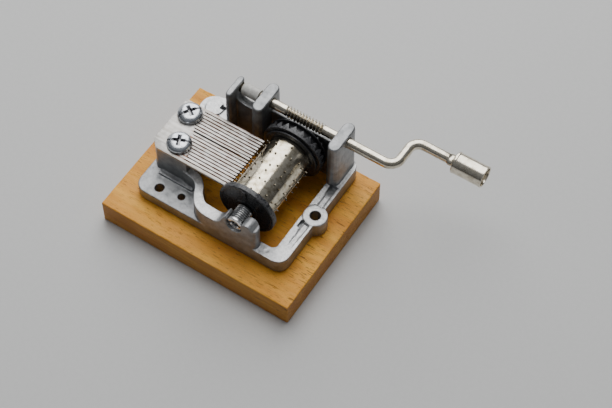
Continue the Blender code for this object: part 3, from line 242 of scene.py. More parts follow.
def turned(profile, axis, centre, sides=64, reach=None):
    """Surface of revolution of a closed profile of (radius, place along the axis) points.

    The point at angle a is centre + r cos a and r sin a along the two directions across the axis, plus the
    place along it. Where reach is given, it returns the radii for all rows and angles instead of r alone.
    """
    profile = np.asarray(profile)
    angle = np.linspace(0, TAU, sides, endpoint=False)
    radius, place = profile[:, :1] + 0 * angle, profile[:, 1:] + 0 * angle
    if reach is not None:
        radius = reach(radius, place, angle)
    local = np.stack([radius * np.cos(angle), radius * np.sin(angle), place], -1)
    solid = profile[0, 0] == 0 and profile[-1, 0] == 0
    points = (local @ across(axis)).reshape(-1, 3) + np.asarray(centre)
    return points, grid_faces(len(profile), sides, close_rows=not solid)


def lines_between(low, high, edge, cell):
    """Places from low to high about a cell apart, closer within a few edge widths of both ends."""
    near = edge * np.array([0, 0.2, 0.4, 0.65, 1, 1.5, 2.2])
    middle = np.linspace(near[-1], high - low - near[-1], max(2, int((high - low) / cell)))[1:-1]
    return low + np.concatenate([near, middle, (high - low) - near[::-1]])


def rounded_box(low, high, edge, cell, wear=None):
    """Six sides of a box with rounded edges: a point p of the sharp box goes to q + r (p - q) / |p - q|.

    q is p held inside the box that is r smaller on every side, and r is the edge radius, which wear may
    change from point to point.
    """
    low, high = np.asarray(low, float), np.asarray(high, float)
    lines = [lines_between(low[k], high[k], edge, cell) for k in range(3)]
    sides = []
    for k in range(3):
        u, v = (k + 1) % 3, (k + 2) % 3
        faces = grid_faces(len(lines[u]), len(lines[v]), close_columns=False)
        for end in (low[k], high[k]):
            sheet = np.empty((len(lines[u]), len(lines[v]), 3))
            sheet[..., k] = end
            sheet[..., u], sheet[..., v] = np.meshgrid(lines[u], lines[v], indexing="ij")
            points = sheet.reshape(-1, 3)
            radius = edge if wear is None else edge * wear(points)[:, None]
            inner = np.clip(points, low + radius, high - radius)
            away = points - inner
            away /= np.linalg.norm(away, axis=1, keepdims=True)
            sides.append((inner + radius * away, faces))
    return sides


def plane_waves(points, length, seed):
    """Smooth noise of about -1 to 1: a scaled sum of plane waves of one length in seeded directions."""
    waves, peak = 14, 1.6
    draw = np.random.default_rng(seed)
    ways = draw.normal(size=(3, waves))
    ways *= TAU / length / np.linalg.norm(ways, axis=0)
    return np.sin(points @ ways + draw.uniform(0, TAU, waves)).sum(1) * math.sqrt(2 / waves) / peak


def tube(path, heading, side, height, centre):
    """Closed skin along a level path.

    Row i is centre + path_i + side cos a across the heading + height sin a upwards.
    """
    rows, sides = side.shape
    angle = np.linspace(0, TAU, sides, endpoint=False)
    level = side * np.cos(angle)
    points = np.empty((rows, sides, 3))
    points[..., 0] = path[:, :1] - level * np.sin(heading)[:, None]
    points[..., 1] = path[:, 1:] + level * np.cos(heading)[:, None]
    points[..., 2] = height * np.sin(angle)
    return points.reshape(-1, 3) + np.asarray(centre), grid_faces(rows, sides)


# Materials

class Finish:
    """Procedural finish: a Principled shader with short calls for the nodes that feed it."""

    def __init__(self, name, metallic=0.0):
        self.material = bpy.data.materials.new(name)
        self.material.use_nodes = True
        self.tree = self.material.node_tree
        self.shader = self.tree.nodes["Principled BSDF"]
        self.place = self.node("ShaderNodeTexCoord").outputs["Object"]
        self.shader.inputs["Metallic"].default_value = metallic

    def node(self, kind, inputs=(), **settings):
        """Adds a node with settings, and links or sets its inputs, given as (number or name, value) pairs."""
        made = self.tree.nodes.new(kind)
        for key, value in settings.items():
            setattr(made, key, value)
        for key, value in inputs:
            self.give(made.inputs[key], value)
        return made

    def give(self, socket, value):
        """Links a socket to an output, or sets its value; a colour gets its alpha."""
        if isinstance(value, bpy.types.NodeSocket):
            self.tree.links.new(value, socket)
        elif socket.type == "RGBA" and len(value) == 3:
            socket.default_value = (*value, 1)
        else:
            socket.default_value = value

    def moved(self, centre=(0, 0, 0), stretch=(1, 1, 1)):
        """Object coordinates about a centre, with the pattern stretched along the axes."""
        scale = tuple(1 / s for s in stretch)
        offset = tuple(-c / s for c, s in zip(centre, stretch))
        inputs = [("Vector", self.place), ("Scale", scale), ("Location", offset)]
        return self.node("ShaderNodeMapping", inputs).outputs[0]

    def noise(self, size, stretch=(1, 1, 1), detail=3.0, rough=0.55, twist=0.0):
        """Noise whose features are about a size in millimetres across, times the stretch along each axis."""
        inputs = [("Vector", self.moved(stretch=stretch)), ("Scale", 1 / (size * MM)), ("Detail", detail),
                  ("Roughness", rough), ("Distortion", twist)]
        return self.node("ShaderNodeTexNoise", inputs).outputs[0]

    def band(self, value, low, high, start=0.0, end=1.0):
        """Value moved from the range low to high into the range start to end, held at both ends."""
        inputs = enumerate((value, low, high, start, end))
        return self.node("ShaderNodeMapRange", inputs, clamp=True).outputs[0]

    def maths(self, operation, *values):
        """One arithmetic step on one or two values."""
        return self.node("ShaderNodeMath", enumerate(values), operation=operation).outputs[0]

    def times(self, first, second):
        """Product of two values."""
        return self.maths("MULTIPLY", first, second)

    def plus(self, first, second):
        """Sum of two values."""
        return self.maths("ADD", first, second)

    def larger(self, first, second):
        """The larger of two values."""
        return self.maths("MAXIMUM", first, second)

    def mix(self, share, first, second):
        """Colour between two colours."""
        inputs = [(0, share), (6, first), (7, second)]
        return self.node("ShaderNodeMix", inputs, data_type="RGBA").outputs[2]

    def parts(self, vector):
        """X, Y and Z of a vector."""
        return self.node("ShaderNodeSeparateXYZ", [(0, vector)]).outputs

    def mark(self):
        """The number kept at each point of the mesh."""
        return self.node("ShaderNodeAttribute", attribute_name=MARK).outputs["Fac"]

    def spot(self, centre, reach):
        """1 at a point and 0 from a reach on, which may differ along the axes."""
        away = self.moved(centre, reach)
        far = self.node("ShaderNodeVectorMath", [(0, away)], operation="LENGTH").outputs["Value"]
        return self.band(far, 0.0, 1.0, 1.0, 0.0)

    def around(self, centre):
        """Distance from an axis along Y through a centre."""
        parts = self.parts(self.moved(centre))
        squares = [self.times(parts[k], parts[k]) for k in (0, 2)]
        return self.maths("SQRT", self.plus(*squares))

    def done(self, colour, roughness, *bumps):
        """Feeds the shader; each bump is (height, distance in millimetres)."""
        self.give(self.shader.inputs["Base Color"], colour)
        self.give(self.shader.inputs["Roughness"], roughness)
        normal = None
        for height, distance in bumps:
            inputs = [("Height", height), ("Distance", distance * MM), ("Strength", 1.0)]
            bump = self.node("ShaderNodeBump", inputs)
            if normal is not None:
                self.give(bump.inputs["Normal"], normal)
            normal = bump.outputs[0]
        if normal is not None:
            self.give(self.shader.inputs["Normal"], normal)
        return self.material


def sanded_wood(light, honey, dark):
    """Sanded wood, grain along X: bands, streaks, dark pores, and checks towards its right edge.

    The board's sides carry painted shade below its top edge.
    """
    side_top, edge_top = 7.5 * MM, 7.95 * MM
    checks_start, checks_full = 12 * MM, 25 * MM
    side_shade_colour = (0.24, 0.09, 0.01)
    wood = Finish("sanded_wood")
    bands = wood.noise(5.5, (6, 1, 1), detail=2, twist=0.4)
    streaks = wood.noise(0.7, (16, 1, 1), detail=4, rough=0.65)
    pores = wood.band(wood.noise(0.24, (8, 1, 1), detail=1.5), 0.61, 0.74)
    place = wood.parts(wood.place)
    checks = wood.band(wood.noise(0.75, (5, 0.5, 1), detail=3, twist=0.6), 0.6, 0.66)
    checks = wood.times(checks, wood.band(place[0], checks_start, checks_full, 0.12, 1.0))
    # Painted shade: the board's sides below its top edge are mixed up to 60% towards a dark brown, broken by
    # the streaks.
    side_shade = wood.times(wood.band(place[2], side_top, edge_top, 0.6, 0.0),
                      wood.band(streaks, 0.2, 0.6, 0.7, 1.0))
    speckle = wood.noise(0.16, (1.5, 1, 1), detail=1)
    tone = wood.mix(wood.band(bands, 0.32, 0.68), light, honey)
    tone = wood.mix(wood.band(streaks, 0.45, 0.75, 0.0, 0.55), tone, honey)
    tone = wood.mix(wood.times(pores, 0.65), tone, dark)
    tone = wood.mix(wood.times(checks, 0.75), tone, dark)
    tone = wood.mix(wood.band(speckle, 0.5, 0.75, 0.0, 0.3), tone, dark)
    tone = wood.mix(side_shade, tone, side_shade_colour)
    rough = wood.band(streaks, 0.3, 0.7, 0.52, 0.68)
    hollow = wood.maths("SUBTRACT", streaks, wood.plus(pores, checks))
    return wood.done(tone, rough, (hollow, 0.05), (speckle, 0.012))


def cast_zinc(light, dark, rub):
    """Die-cast zinc: cloudy satin grey, gritty, pitted and scratched, bright where its rails are rubbed.

    Its side and under faces carry painted shade.
    """
    rubbed_from, rubbed_full = 12.35 * MM, 12.8 * MM
    fading_from, plain_above = 17.1 * MM, 18 * MM
    pit_colour = (0.08, 0.08, 0.085)
    zinc = Finish("cast_zinc", metallic=0.75)
    clouds = zinc.noise(2.6, detail=4, rough=0.6)
    grit = zinc.noise(0.11, detail=2)
    flow = zinc.noise(0.8, (1, 1, 2.5), detail=3, twist=0.8)
    pits = zinc.band(zinc.noise(0.3, (1.6, 1, 1), detail=1.5), 0.69, 0.8)
    scratches = zinc.band(zinc.noise(0.42, (0.35, 3.2, 1), detail=1), 0.74, 0.82)
    tone = zinc.mix(zinc.band(clouds, 0.36, 0.62), dark, light)
    tone = zinc.mix(zinc.band(flow, 0.35, 0.75, 0.0, 0.35), tone, dark)
    height = zinc.parts(zinc.place)[2]
    slope = zinc.parts(zinc.node("ShaderNodeNewGeometry").outputs["Normal"])[2]
    rubbed = zinc.times(zinc.band(height, rubbed_from, rubbed_full),
                        zinc.band(height, fading_from, plain_above, 1.0, 0.0))
    rubbed = zinc.times(rubbed, zinc.band(slope, 0.3, 0.85))
    tone = zinc.mix(zinc.times(rubbed, zinc.band(flow, 0.35, 0.65, 0.9, 0.45)), tone, rub)
    # Painted shade: faces that turn away from straight up are mixed up to 45% towards the dull colour, fully
    # on side and under faces.
    tone = zinc.mix(zinc.band(slope, 0.5, 0.0, 0.0, 0.45), tone, dark)
    marks = zinc.larger(pits, scratches)
    tone = zinc.mix(zinc.times(marks, 0.65), tone, pit_colour)
    rough = zinc.plus(zinc.band(clouds, 0.3, 0.7, 0.38, 0.52), zinc.band(grit, 0.3, 0.7, -0.04, 0.06))
    return zinc.done(tone, rough, (flow, 0.05), (grit, 0.012), (marks, -0.02))


def comb_steel(light, shade, rust, low, high):
    """Ground steel of the comb: a tone for each tooth, grinding lines, stained slots and rust."""
    stain_from, stain_full = -17.6 * MM, -16.4 * MM
    pitch = (high[1] - low[1]) / TEETH
    steel = Finish("comb_steel", metallic=0.9)
    tooth_tone = steel.noise(0.9, (30, 1, 1), detail=1)
    grinding = steel.noise(0.1, (1, 9, 1), detail=2)
    mottle = steel.noise(1.3, detail=4, rough=0.65)
    tone = steel.mix(steel.band(tooth_tone, 0.35, 0.65, 0.0, 0.6), light, shade)
    tone = steel.mix(steel.band(mottle, 0.45, 0.8, 0.0, 0.5), tone, shade)
    near = 0.0
    for x, y, *reach in RUST_SPOTS:
        near = steel.larger(near, steel.spot((x, y, high[2]), reach))
    flecks = steel.noise(0.3, (1.6, 1, 1), detail=3, rough=0.7)
    rusty = steel.band(steel.plus(near, flecks), 0.95, 1.15)
    freckles = steel.band(steel.noise(0.36, detail=2), 0.75, 0.8, 0.0, 0.7)
    rusty = steel.larger(rusty, freckles)
    tone = steel.mix(rusty, tone, rust)
    place = steel.parts(steel.place)
    slots = steel.maths("DIVIDE", steel.maths("SUBTRACT", place[1], low[1]), pitch)
    beside = steel.band(steel.maths("PINGPONG", slots, 0.5), 0.17, 0.3, 1.0, 0.0)
    stain = steel.times(beside, steel.band(steel.noise(0.9, (3, 1, 1), detail=3), 0.36, 0.55))
    stain = steel.times(stain, steel.band(place[0], stain_from, stain_full, 0.0, 0.9))
    stain = steel.times(stain, steel.band(slots, 0.5, 0.6))
    tone = steel.mix(stain, tone, rust)
    rough = steel.plus(steel.band(mottle, 0.3, 0.7, 0.3, 0.44), steel.times(rusty, 0.35))
    return steel.done(tone, rough, (grinding, 0.008), (mottle, 0.02))


def bright_plate(name, light, shade, roughness, lines, axis, painted_shade):
    """Bright plate with hair lines round an axis and a faint tarnish; marked points get a painted shade
    colour.
    """
    speck_colour = (0.12, 0.09, 0.06)
    plate = Finish(name, metallic=1.0)
    stretch = tuple(1 if way == axis else 60 for way in "XYZ")
    hair = plate.noise(0.07, stretch, detail=2)
    tarnish = plate.noise(1.7, detail=4, rough=0.62)
    waves = plate.noise(2.2, detail=1)
    specks = plate.band(plate.noise(0.22, detail=2), 0.73, 0.8, 0.0, 0.5)
    tone = plate.mix(plate.band(tarnish, 0.42, 0.7), light, shade)
    tone = plate.mix(specks, tone, speck_colour)
    rough = plate.plus(plate.band(tarnish, 0.3, 0.75, roughness * 0.8, roughness * 1.5),
                       plate.band(hair, 0.3, 0.7, -0.04, 0.05))
    # Painted shade: marked points are mixed towards the shade colour.
    tone = plate.mix(plate.mark(), tone, painted_shade)
    return plate.done(tone, rough, (hair, lines), (waves, 0.012))


def black_nylon(name, rim, scuff):
    """Black nylon of a disc on the cylinder's axis: satin, with a worn grey rim and turning scratches."""
    nylon_colour = (0.024, 0.024, 0.026)
    nylon = Finish(name)
    radius = nylon.around(CYLINDER_CENTRE)
    grain = nylon.noise(0.09, detail=2)
    scratches = nylon.band(nylon.noise(0.22, (1, 4, 1), detail=2, twist=1.2), 0.6, 0.76)
    worn = nylon.times(nylon.band(radius, rim - 0.7 * MM, rim), nylon.noise(0.6, detail=4))
    share = nylon.plus(nylon.times(scratches, 0.18), nylon.band(worn, 0.42, 0.75, 0.0, 0.5))
    tone = nylon.mix(nylon.band(share, 0.0, 1.0), nylon_colour, scuff)
    rough = nylon.band(share, 0.0, 1.0, 0.27, 0.5)
    return nylon.done(tone, rough, (grain, 0.006), (scratches, 0.01))


def plain_metal(name, light, shade, roughness, size):
    """Turned or cast metal in two close tones, in clouds of a size in millimetres, with a fine grain."""
    metal = Finish(name, metallic=1.0)
    cloud = metal.noise(size, detail=3)
    grain = metal.noise(0.08, detail=2)
    tone = metal.mix(metal.band(cloud, 0.3, 0.7), light, shade)
    return metal.done(tone, metal.band(cloud, 0.3, 0.7, roughness * 0.85, roughness * 1.3), (grain, 0.008))


def pale_nylon(light, shade):
    """Pale matt nylon, slightly greasy."""
    nylon = Finish("pale_nylon")
    cloud = nylon.noise(0.9, detail=4)
    grain = nylon.noise(0.1, detail=2)
    tone = nylon.mix(nylon.band(cloud, 0.35, 0.7), light, shade)
    return nylon.done(tone, nylon.band(cloud, 0.3, 0.7, 0.4, 0.6), (grain, 0.01))


# Settings

def length(name, default, description):
    """Length setting, given in millimetres and kept in metres."""
    return FloatProperty(name=name, description=description, default=default * MM, min=0.0, precision=5,
                         subtype="DISTANCE")


def colour(name, default, description):
    """Colour setting, linear."""
    return FloatVectorProperty(name=name, description=description, default=default, size=3, min=0.0, max=1.0,
                               subtype="COLOR")


def count(name, default, description):
    """Whole number setting."""
    return IntProperty(name=name, description=description, default=default, min=1)


def angle(name, default, description):
    """Angle setting, given in degrees and kept in radians."""
    return FloatProperty(name=name, description=description, default=math.radians(default), subtype="ANGLE")


def power(name, default, description):
    """Power setting of a light, in watts."""
    return FloatProperty(name=name, description=description, default=default, unit="POWER")


class BoardSettings(bpy.types.PropertyGroup):
    edge: length("Edge radius", 0.3, "Radius of the board's worn edges")
    cell: length("Cell", 0.7, "Distance between the grid's lines")
    light: colour("Light wood", (0.97, 0.47, 0.035), "Colour of the pale wood between the bands")
    honey: colour("Band wood", (0.70, 0.26, 0.012), "Colour of the darker bands")
    dark: colour("Pores", (0.10, 0.03, 0.006), "Colour in the pores and checks")


class CastingSettings(bpy.types.PropertyGroup):
    voxel: length("Voxel", 0.15, "Cell of the casting's skin before it is thinned")
    smoothing: count("Smoothing", 4, "Rounds of smoothing that soften the casting's edges")
    unevenness: length("Unevenness", 0.02, "Height of the slow waves in the cast skin")
    triangles: count("Triangles", 180000, "Triangles left in the casting")
    light: colour("Light zinc", (0.44, 0.445, 0.45), "Colour of the clean zinc")
    dark: colour("Dull zinc", (0.21, 0.215, 0.22), "Colour of the dull clouds")
    rubbed: colour("Rubbed zinc", (0.72, 0.72, 0.715), "Colour of the rails and ribbon where they are rubbed")


class CombSettings(bpy.types.PropertyGroup):
    slot: length("Slot", 0.25, "Width of the slots between the teeth")
    wide_slot: length("Wide slot", 0.5, "Width of the one slot that stands open")
    bevel: length("Bevel", 0.04, "Bevel of the comb's edges")
    light: colour("Bright steel", (0.47, 0.455, 0.435), "Colour of the ground steel")
    shade: colour("Dull steel", (0.25, 0.23, 0.20), "Colour of the dull steel")
    rust: colour("Rust", (0.12, 0.045, 0.018), "Colour of the rust")


class ScrewSettings(bpy.types.PropertyGroup):
    slot_width: length("Slot width", 0.62, "Width of the slot across the head")
    slot_depth: length("Slot depth", 0.5, "Depth of the slot across the head")
    cross_width: length("Cross width", 1.05, "Width of the cross recess's arms")
    cross_length: length("Cross length", 3.6, "Length of the cross recess")
    cross_depth: length("Cross depth", 1.4, "Depth of the cross recess")
    light: colour("Zinc plate", (0.66, 0.68, 0.71), "Colour of the bright zinc plate")
    shade: colour("Dull plate", (0.38, 0.40, 0.43), "Colour of the dull zinc plate")


class DrumSettings(bpy.types.PropertyGroup):
    pin_radius: length("Pin radius", 0.2, "Radius of the pins")
    pins: count("Pins", 5, "Pins for each tooth")
    beats: count("Beats", 48, "Equal steps of one turn on which pins stand")
    seam: length("Seam", 0.1, "Half width of the seam groove along the drum")
    seam_place: angle("Seam place", -3.0, "Angle of the seam from straight up, away from the comb")
    light: colour("Nickel", (0.77, 0.70, 0.56), "Colour of the bright nickel")
    shade: colour("Tarnish", (0.32, 0.265, 0.17), "Colour of the tarnished nickel")


class WheelSettings(bpy.types.PropertyGroup):
    notch: length("Notch depth", 1.5, "Depth of the notches in the band")
    scuff: colour("Scuff", (0.2, 0.2, 0.21), "Colour of the worn black nylon")
    rib_width: length("Rib width", 1.2, "Width of the rib on the cap's face")
    rib_height: length("Rib height", 0.35, "How far the rib stands out of the cap's face")


class CrankSettings(bpy.types.PropertyGroup):
    bend: length("Bend radius", 3.0, "Radius of the rod's middle line in its two bends")
    arm_start: length("Arm start", 36.3, "Where the arm's middle line leaves the rod's axis")
    arm_advance: length("Arm advance", 0.2, "How far the arm advances along the rod's axis")
    knob_wall: length("Knob wall", 0.45, "Wall of the knob")
    light: colour("Nickel", (0.78, 0.72, 0.60), "Colour of the crank's nickel")
    shade: colour("Dull nickel", (0.54, 0.48, 0.37), "Colour of the crank's dull nickel")


class StageSettings(bpy.types.PropertyGroup):
    azimuth: angle("Azimuth", -32.39, "Heading of the camera's view, from +Y towards +X")
    elevation: angle("Elevation", 57.17, "How steeply the camera looks down")
    roll: angle("Roll", 0.56, "Turn of the camera about its own axis")
    eye: FloatVectorProperty(name="Eye", description="Place of the camera", default=(0.1452, -0.1963, 0.3803),
                             size=3, subtype="XYZ", unit="LENGTH")
    lens: FloatProperty(name="Lens", description="Focal length on a 36 mm wide sensor", default=96.5,
                        unit="CAMERA")
    floor: colour("Floor", (0.62, 0.62, 0.61), "Colour of the plain floor")
    horizon: colour("Horizon", (0.05, 0.05, 0.053), "Colour of the surroundings at the horizon")
    zenith: colour("Zenith", (0.24, 0.25, 0.265), "Colour of the surroundings overhead")
    key: power("Key light", 6.0, "Power of the large soft light")
    fill: power("Fill light", 0.45, "Power of the weak soft light")


# Pieces

def add_board(settings):
    """Board: a box with rounded, slightly worn edges and a stepped recess for each base screw."""
    low, high = span("wooden_base")
    step, hole, above = 1.9 * MM, 1.15 * MM, high[2] + MM

    def wear(points):
        return 1 + 0.3 * plane_waves(points, 5 * MM, 3) + 0.2 * plane_waves(points, 1.1 * MM, 4)

    board = mesh_of("board", *rounded_box(low, high, settings.edge, settings.cell, wear))
    cutters = []
    for node in BASE_SCREWS:
        screw_low, screw_high = span(node)
        centre = (screw_low + screw_high) / 2
        head = (screw_high[0] - screw_low[0]) / 2 + 0.3 * MM
        profile = [(0, -MM), (head, -MM), (head, step), (hole, step), (hole, above), (0, above)]
        cutters.append(mesh_of("recess", turned(profile, "Z", (centre[0], centre[1], 0), 48)))
    finish = sanded_wood(settings.light, settings.honey, settings.dark)
    add_piece("board", carved(board, *cutters), finish, "root", "wooden_base", sharp=50)


def slanted_box(low, high, near_rise=0.0, slope=0.0):
    """Box between two corners in millimetres.

    Its floor is raised at its near end and narrower by a slope at both sides.
    """
    points = np.array(list(itertools.product(*zip(low, high))), float)
    points[[0, 4], 2] += near_rise
    points[[0, 2], 0] += slope
    points[[4, 6], 0] -= slope
    faces = np.array([[0, 1, 3, 2], [4, 6, 7, 5], [0, 4, 5, 1], [2, 3, 7, 6], [0, 2, 6, 4], [1, 5, 7, 3]])
    return mesh_of("box", (points * MM, faces))


def casting_extras():
    """Small solids that the frame leaves out: filled grooves, a ledge at the block's foot, a rim."""
    front_fill = slanted_box((20.5, -11.4, 12.2), (22.1, -1.3, 13.19))
    back_fill = slanted_box((20.5, 5.1, 12.2), (22.1, 12.2, 13.19))
    ledge = slanted_box((-20.8, -9.0, 11.2), (-10.0, -7.2, 12.25))
    eyelet = (22.4 * MM, 1.9 * MM, 0)
    rim = in_mm((1.45, 12.5), (3.38, 12.5), (3.38, 13.3), (3.2, 13.42), (1.6, 13.42), (1.45, 13.3))
    return [front_fill, back_fill, ledge, mesh_of("rim", turned(rim, "Z", eyelet, 48))]


def casting_cutters():
    """Small hollows that the frame leaves out: troughs on the rail, pockets, a notch and an ejector mark."""
    front_trough = slanted_box((20.3, -11.6, 12.6), (23.4, -1.6, 13.9), near_rise=0.65, slope=0.9)
    back_trough = slanted_box((20.3, 4.9, 12.75), (23.4, 10.6, 13.9), slope=0.9)
    foot_pocket = slanted_box((20.5, 9.2, 11.7), (22.9, 12.7, 13.9), near_rise=1.1, slope=0.3)
    rim_pocket = slanted_box((19.9, -3.4, 12.0), (21.1, -1.0, 14.0), near_rise=0.6, slope=0.2)
    notch = slanted_box((-18.7, 17.0, 11.4), (-17.3, 18.6, 14.0))
    tab = (17.6 * MM, -14.1 * MM, 0)
    mark = turned(in_mm((0, 13.1), (0.62, 13.1), (0.62, 14), (0, 14)), "Z", tab, 24)
    return [front_trough, back_trough, foot_pocket, rim_pocket, notch, mesh_of("mark", mark)]


def unevened(mesh, depth):
    """Moves a skin's points along their normals by slow waves, and the rail's troughs by coarser ones."""
    rail_left, rail_right, trough_floor, trough_top = 20.9 * MM, 23.1 * MM, 12 * MM, 13.1 * MM
    points = np.empty((len(mesh.vertices), 3), np.float32)
    normals = np.empty((len(mesh.vertices), 3), np.float32)
    mesh.vertices.foreach_get("co", points.ravel())
    mesh.vertex_normals.foreach_get("vector", normals.ravel())
    rough = (points[:, 0] > rail_left) & (points[:, 0] < rail_right) & (normals[:, 2] > 0.7)
    rough &= (points[:, 2] < trough_top) & (points[:, 2] > trough_floor)
    move = depth * plane_waves(points, 1.7 * MM, 7) + 2 * depth * rough * plane_waves(points, 1.1 * MM, 8)
    points += normals * move[:, None].astype(np.float32)
    mesh.vertices.foreach_set("co", points.ravel())
    mesh.update()
    return mesh


def add_casting(settings):
    """Casting: the frame's solid skinned in fine cells, its edges softened, then thinned where it is flat."""
    solid = tidied(frame["nodes"]["bedplate"].data.copy(), merge=1e-6)
    solid = carved(solid, *casting_extras(), operation="UNION")
    solid = carved(solid, *casting_cutters())
    skin = applied(solid, ("REMESH", {"mode": "VOXEL", "voxel_size": settings.voxel}),
                   ("SMOOTH", {"factor": 0.5, "iterations": settings.smoothing}))
    skin = unevened(skin, settings.unevenness)
    faces = sum(len(face.vertices) - 2 for face in skin.polygons)
    skin = applied(skin, ("DECIMATE", {"ratio": min(1.0, settings.triangles / faces)}))
    finish = cast_zinc(settings.light, settings.dark, settings.rubbed)
    add_piece("casting", skin, finish, "root", "bedplate", sharp=60)


def slot_half(index, settings):
    """Half the width of a slot; one slot stands wider open."""
    return (settings.wide_slot if index == WIDE_SLOT else settings.slot) / 2


def slot_root(y):
    """Where a slot begins: the roots step back towards the long teeth."""
    return float(np.interp(y, *in_mm((-5.4, -0.7, 4.4), (-13.3, -15.0, -17.6))))


def comb_outline(low, high, settings):
    """Plan of the comb: for each tooth the slot's two sides, the shoulders and the tip, then the plate."""
    pitch = (high[1] - low[1]) / TEETH
    cut_corner = 2.2 * MM
    plate = rounded([(high[0], high[1], 0), (low[0], high[1], 0.7 * MM), (low[0], low[1] + cut_corner, MM),
                     (low[0] + cut_corner, low[1], MM), (high[0], low[1], 0)], 5)[1:-1]
    shoulder, tip = high[0] - 0.6 * MM, 0.21 * MM
    outline = []
    for tooth in range(TEETH):
        near, far = low[1] + tooth * pitch, low[1] + (tooth + 1) * pitch
        middle = (near + far) / 2
        if tooth > 0:
            near += slot_half(tooth, settings)
            outline.append((slot_root(near), near))
        last = tooth == TEETH - 1
        half = 0 if last else slot_half(tooth + 1, settings)
        far -= half
        outline += [(shoulder, near), (high[0], middle - tip), (high[0], middle + tip), (shoulder, far)]
        if not last:
            outline.append((slot_root(far), far))
    return np.concatenate([outline, plate])


def flat_plate(name, outline, holes, low, high, bevel):
    """Flat plate with bevelled edges from closed outlines in plan, made in millimetres and scaled down."""
    drawing = bpy.data.curves.new(name, "CURVE")
    drawing.dimensions = "2D"
    drawing.fill_mode = "BOTH"
    drawing.extrude = (high - low) / 2 / MM - bevel / MM
    drawing.bevel_depth = bevel / MM
    drawing.bevel_resolution = 1
    drawing.offset = -bevel / MM
    for line in [outline, *holes]:
        spline = drawing.splines.new("POLY")
        spline.points.add(len(line) - 1)
        points = np.zeros((len(line), 4))
        points[:, :2] = np.asarray(line) / MM
        points[:, 3] = 1
        spline.points.foreach_set("co", points.ravel())
        spline.use_cyclic_u = True
    mesh = evaluated(placed(name, drawing))
    mesh.transform(Matrix.Translation((0, 0, (low + high) / 2)) @ Matrix.Scale(MM, 4))
    return tidied(mesh, merge=1e-6)


def add_comb(settings):
    """Comb: a bevelled plate with slots and screw holes, thinned from below along its teeth."""
    hole, thin_from, thinned_by = 1.57 * MM, -12.7 * MM, 0.3 * MM
    low, high = span("comb")
    circle = np.linspace(0, TAU, 40, endpoint=False)
    holes = []
    for node in COMB_SCREWS:
        centre = sum(span(node)) / 2
        holes.append(np.stack([centre[0] + hole * np.cos(circle), centre[1] + hole * np.sin(circle)], -1))
    plate = flat_plate("comb", comb_outline(low, high, settings), holes, low[2], high[2], settings.bevel)
    under = rounded_box((thin_from, low[1] - MM, low[2] - MM),
                        (high[0] + MM, high[1] + MM, low[2] + thinned_by), 0.1 * MM, 5 * MM)
    finish = comb_steel(settings.light, settings.shade, settings.rust, low, high)
    plate = carved(plate, mesh_of("under", *under))
    add_piece("comb_plate", plate, finish, "root", "comb", sharp=25)


def add_bass_weights():
    """Lead weights under the long teeth: small blocks with rounded, hand-trimmed edges."""
    lead = plain_metal("dull_lead", (0.3, 0.3, 0.32), (0.16, 0.16, 0.18), 0.5, 0.6)
    for index in range(1, 8):
        node = f"bass_weight_{index}"

        def trim(points):
            return 1 + 0.4 * plane_waves(points, 0.9 * MM, index)

        block = mesh_of("bass_weight", *rounded_box(*span(node), 0.07 * MM, 0.3 * MM, trim))
        add_piece(f"weight_{index}", block, lead, "root", node)


def driver_recess(x, y, arms):
    """Depth of a screw head's recess: for each (length, width, depth, wall, turned) arm a trough.

    Its walls slope over the wall's width, and its ends slope half as steeply.
    """
    depth = np.zeros_like(x)
    for reach, width, deep, wall, quarter_turned in arms:
        along, aside = (y, x) if quarter_turned else (x, y)
        inside = np.minimum(width / 2 - np.abs(aside), (reach / 2 - np.abs(along)) * 0.5)
        depth = np.maximum(depth, deep * np.clip(inside / wall, 0, 1))
    return depth


def screw_mesh(node, base, top, shank, tip, arms, turn, upside=1):
    """Screw as one grid of rings: domed head with its recess, rounded rim, flat underside, shank and point.

    Ring points are (r cos a, r sin a); the top's height is the dome's minus the recess, and upside -1
    turns the screw over.
    """
    sides, full_shade_depth = 176, 0.4 * MM
    low, high = span(node)
    centre, radius = (low + high) / 2, (high[0] - low[0]) / 2
    angle = np.linspace(0, TAU, sides, endpoint=False)
    height = top - base
    share = np.concatenate([np.linspace(0, 0.9, 58), 1 - 0.1 * np.linspace(1, 0, 12)[1:] ** 2])
    radii = share * radius
    dome = base + height * (0.3 + 0.7 * (1 - share ** 3.2) ** 0.55)
    point_start = tip + 0.5 * MM * np.sign(base - tip)
    rows_r = np.concatenate([radii, [radius, 0.97 * radius, shank, shank, 0.5 * shank, 0]])
    rows_z = np.concatenate([dome, [base + 0.08 * height, base, base, point_start, tip, tip]])
    r = rows_r[:, None] + 0 * angle
    x, y = r * np.cos(angle), r * np.sin(angle)
    on_top = np.arange(len(rows_r)) < len(radii)
    recess = np.where(on_top[:, None], driver_recess(x, y, arms), 0)
    z = rows_z[:, None] + 0 * angle - upside * recess
    cos, sin = math.cos(turn), math.sin(turn)
    points = np.stack([centre[0] + x * cos - y * sin, centre[1] + x * sin + y * cos, z], -1)
    surface = points.reshape(-1, 3), grid_faces(len(rows_r), sides)
    # The mark paints shade in the head's recess: none at its rim, full from 0.4 mm deep.
    return mesh_of("screw", surface, marks=np.clip(recess / full_shade_depth, 0, 1))


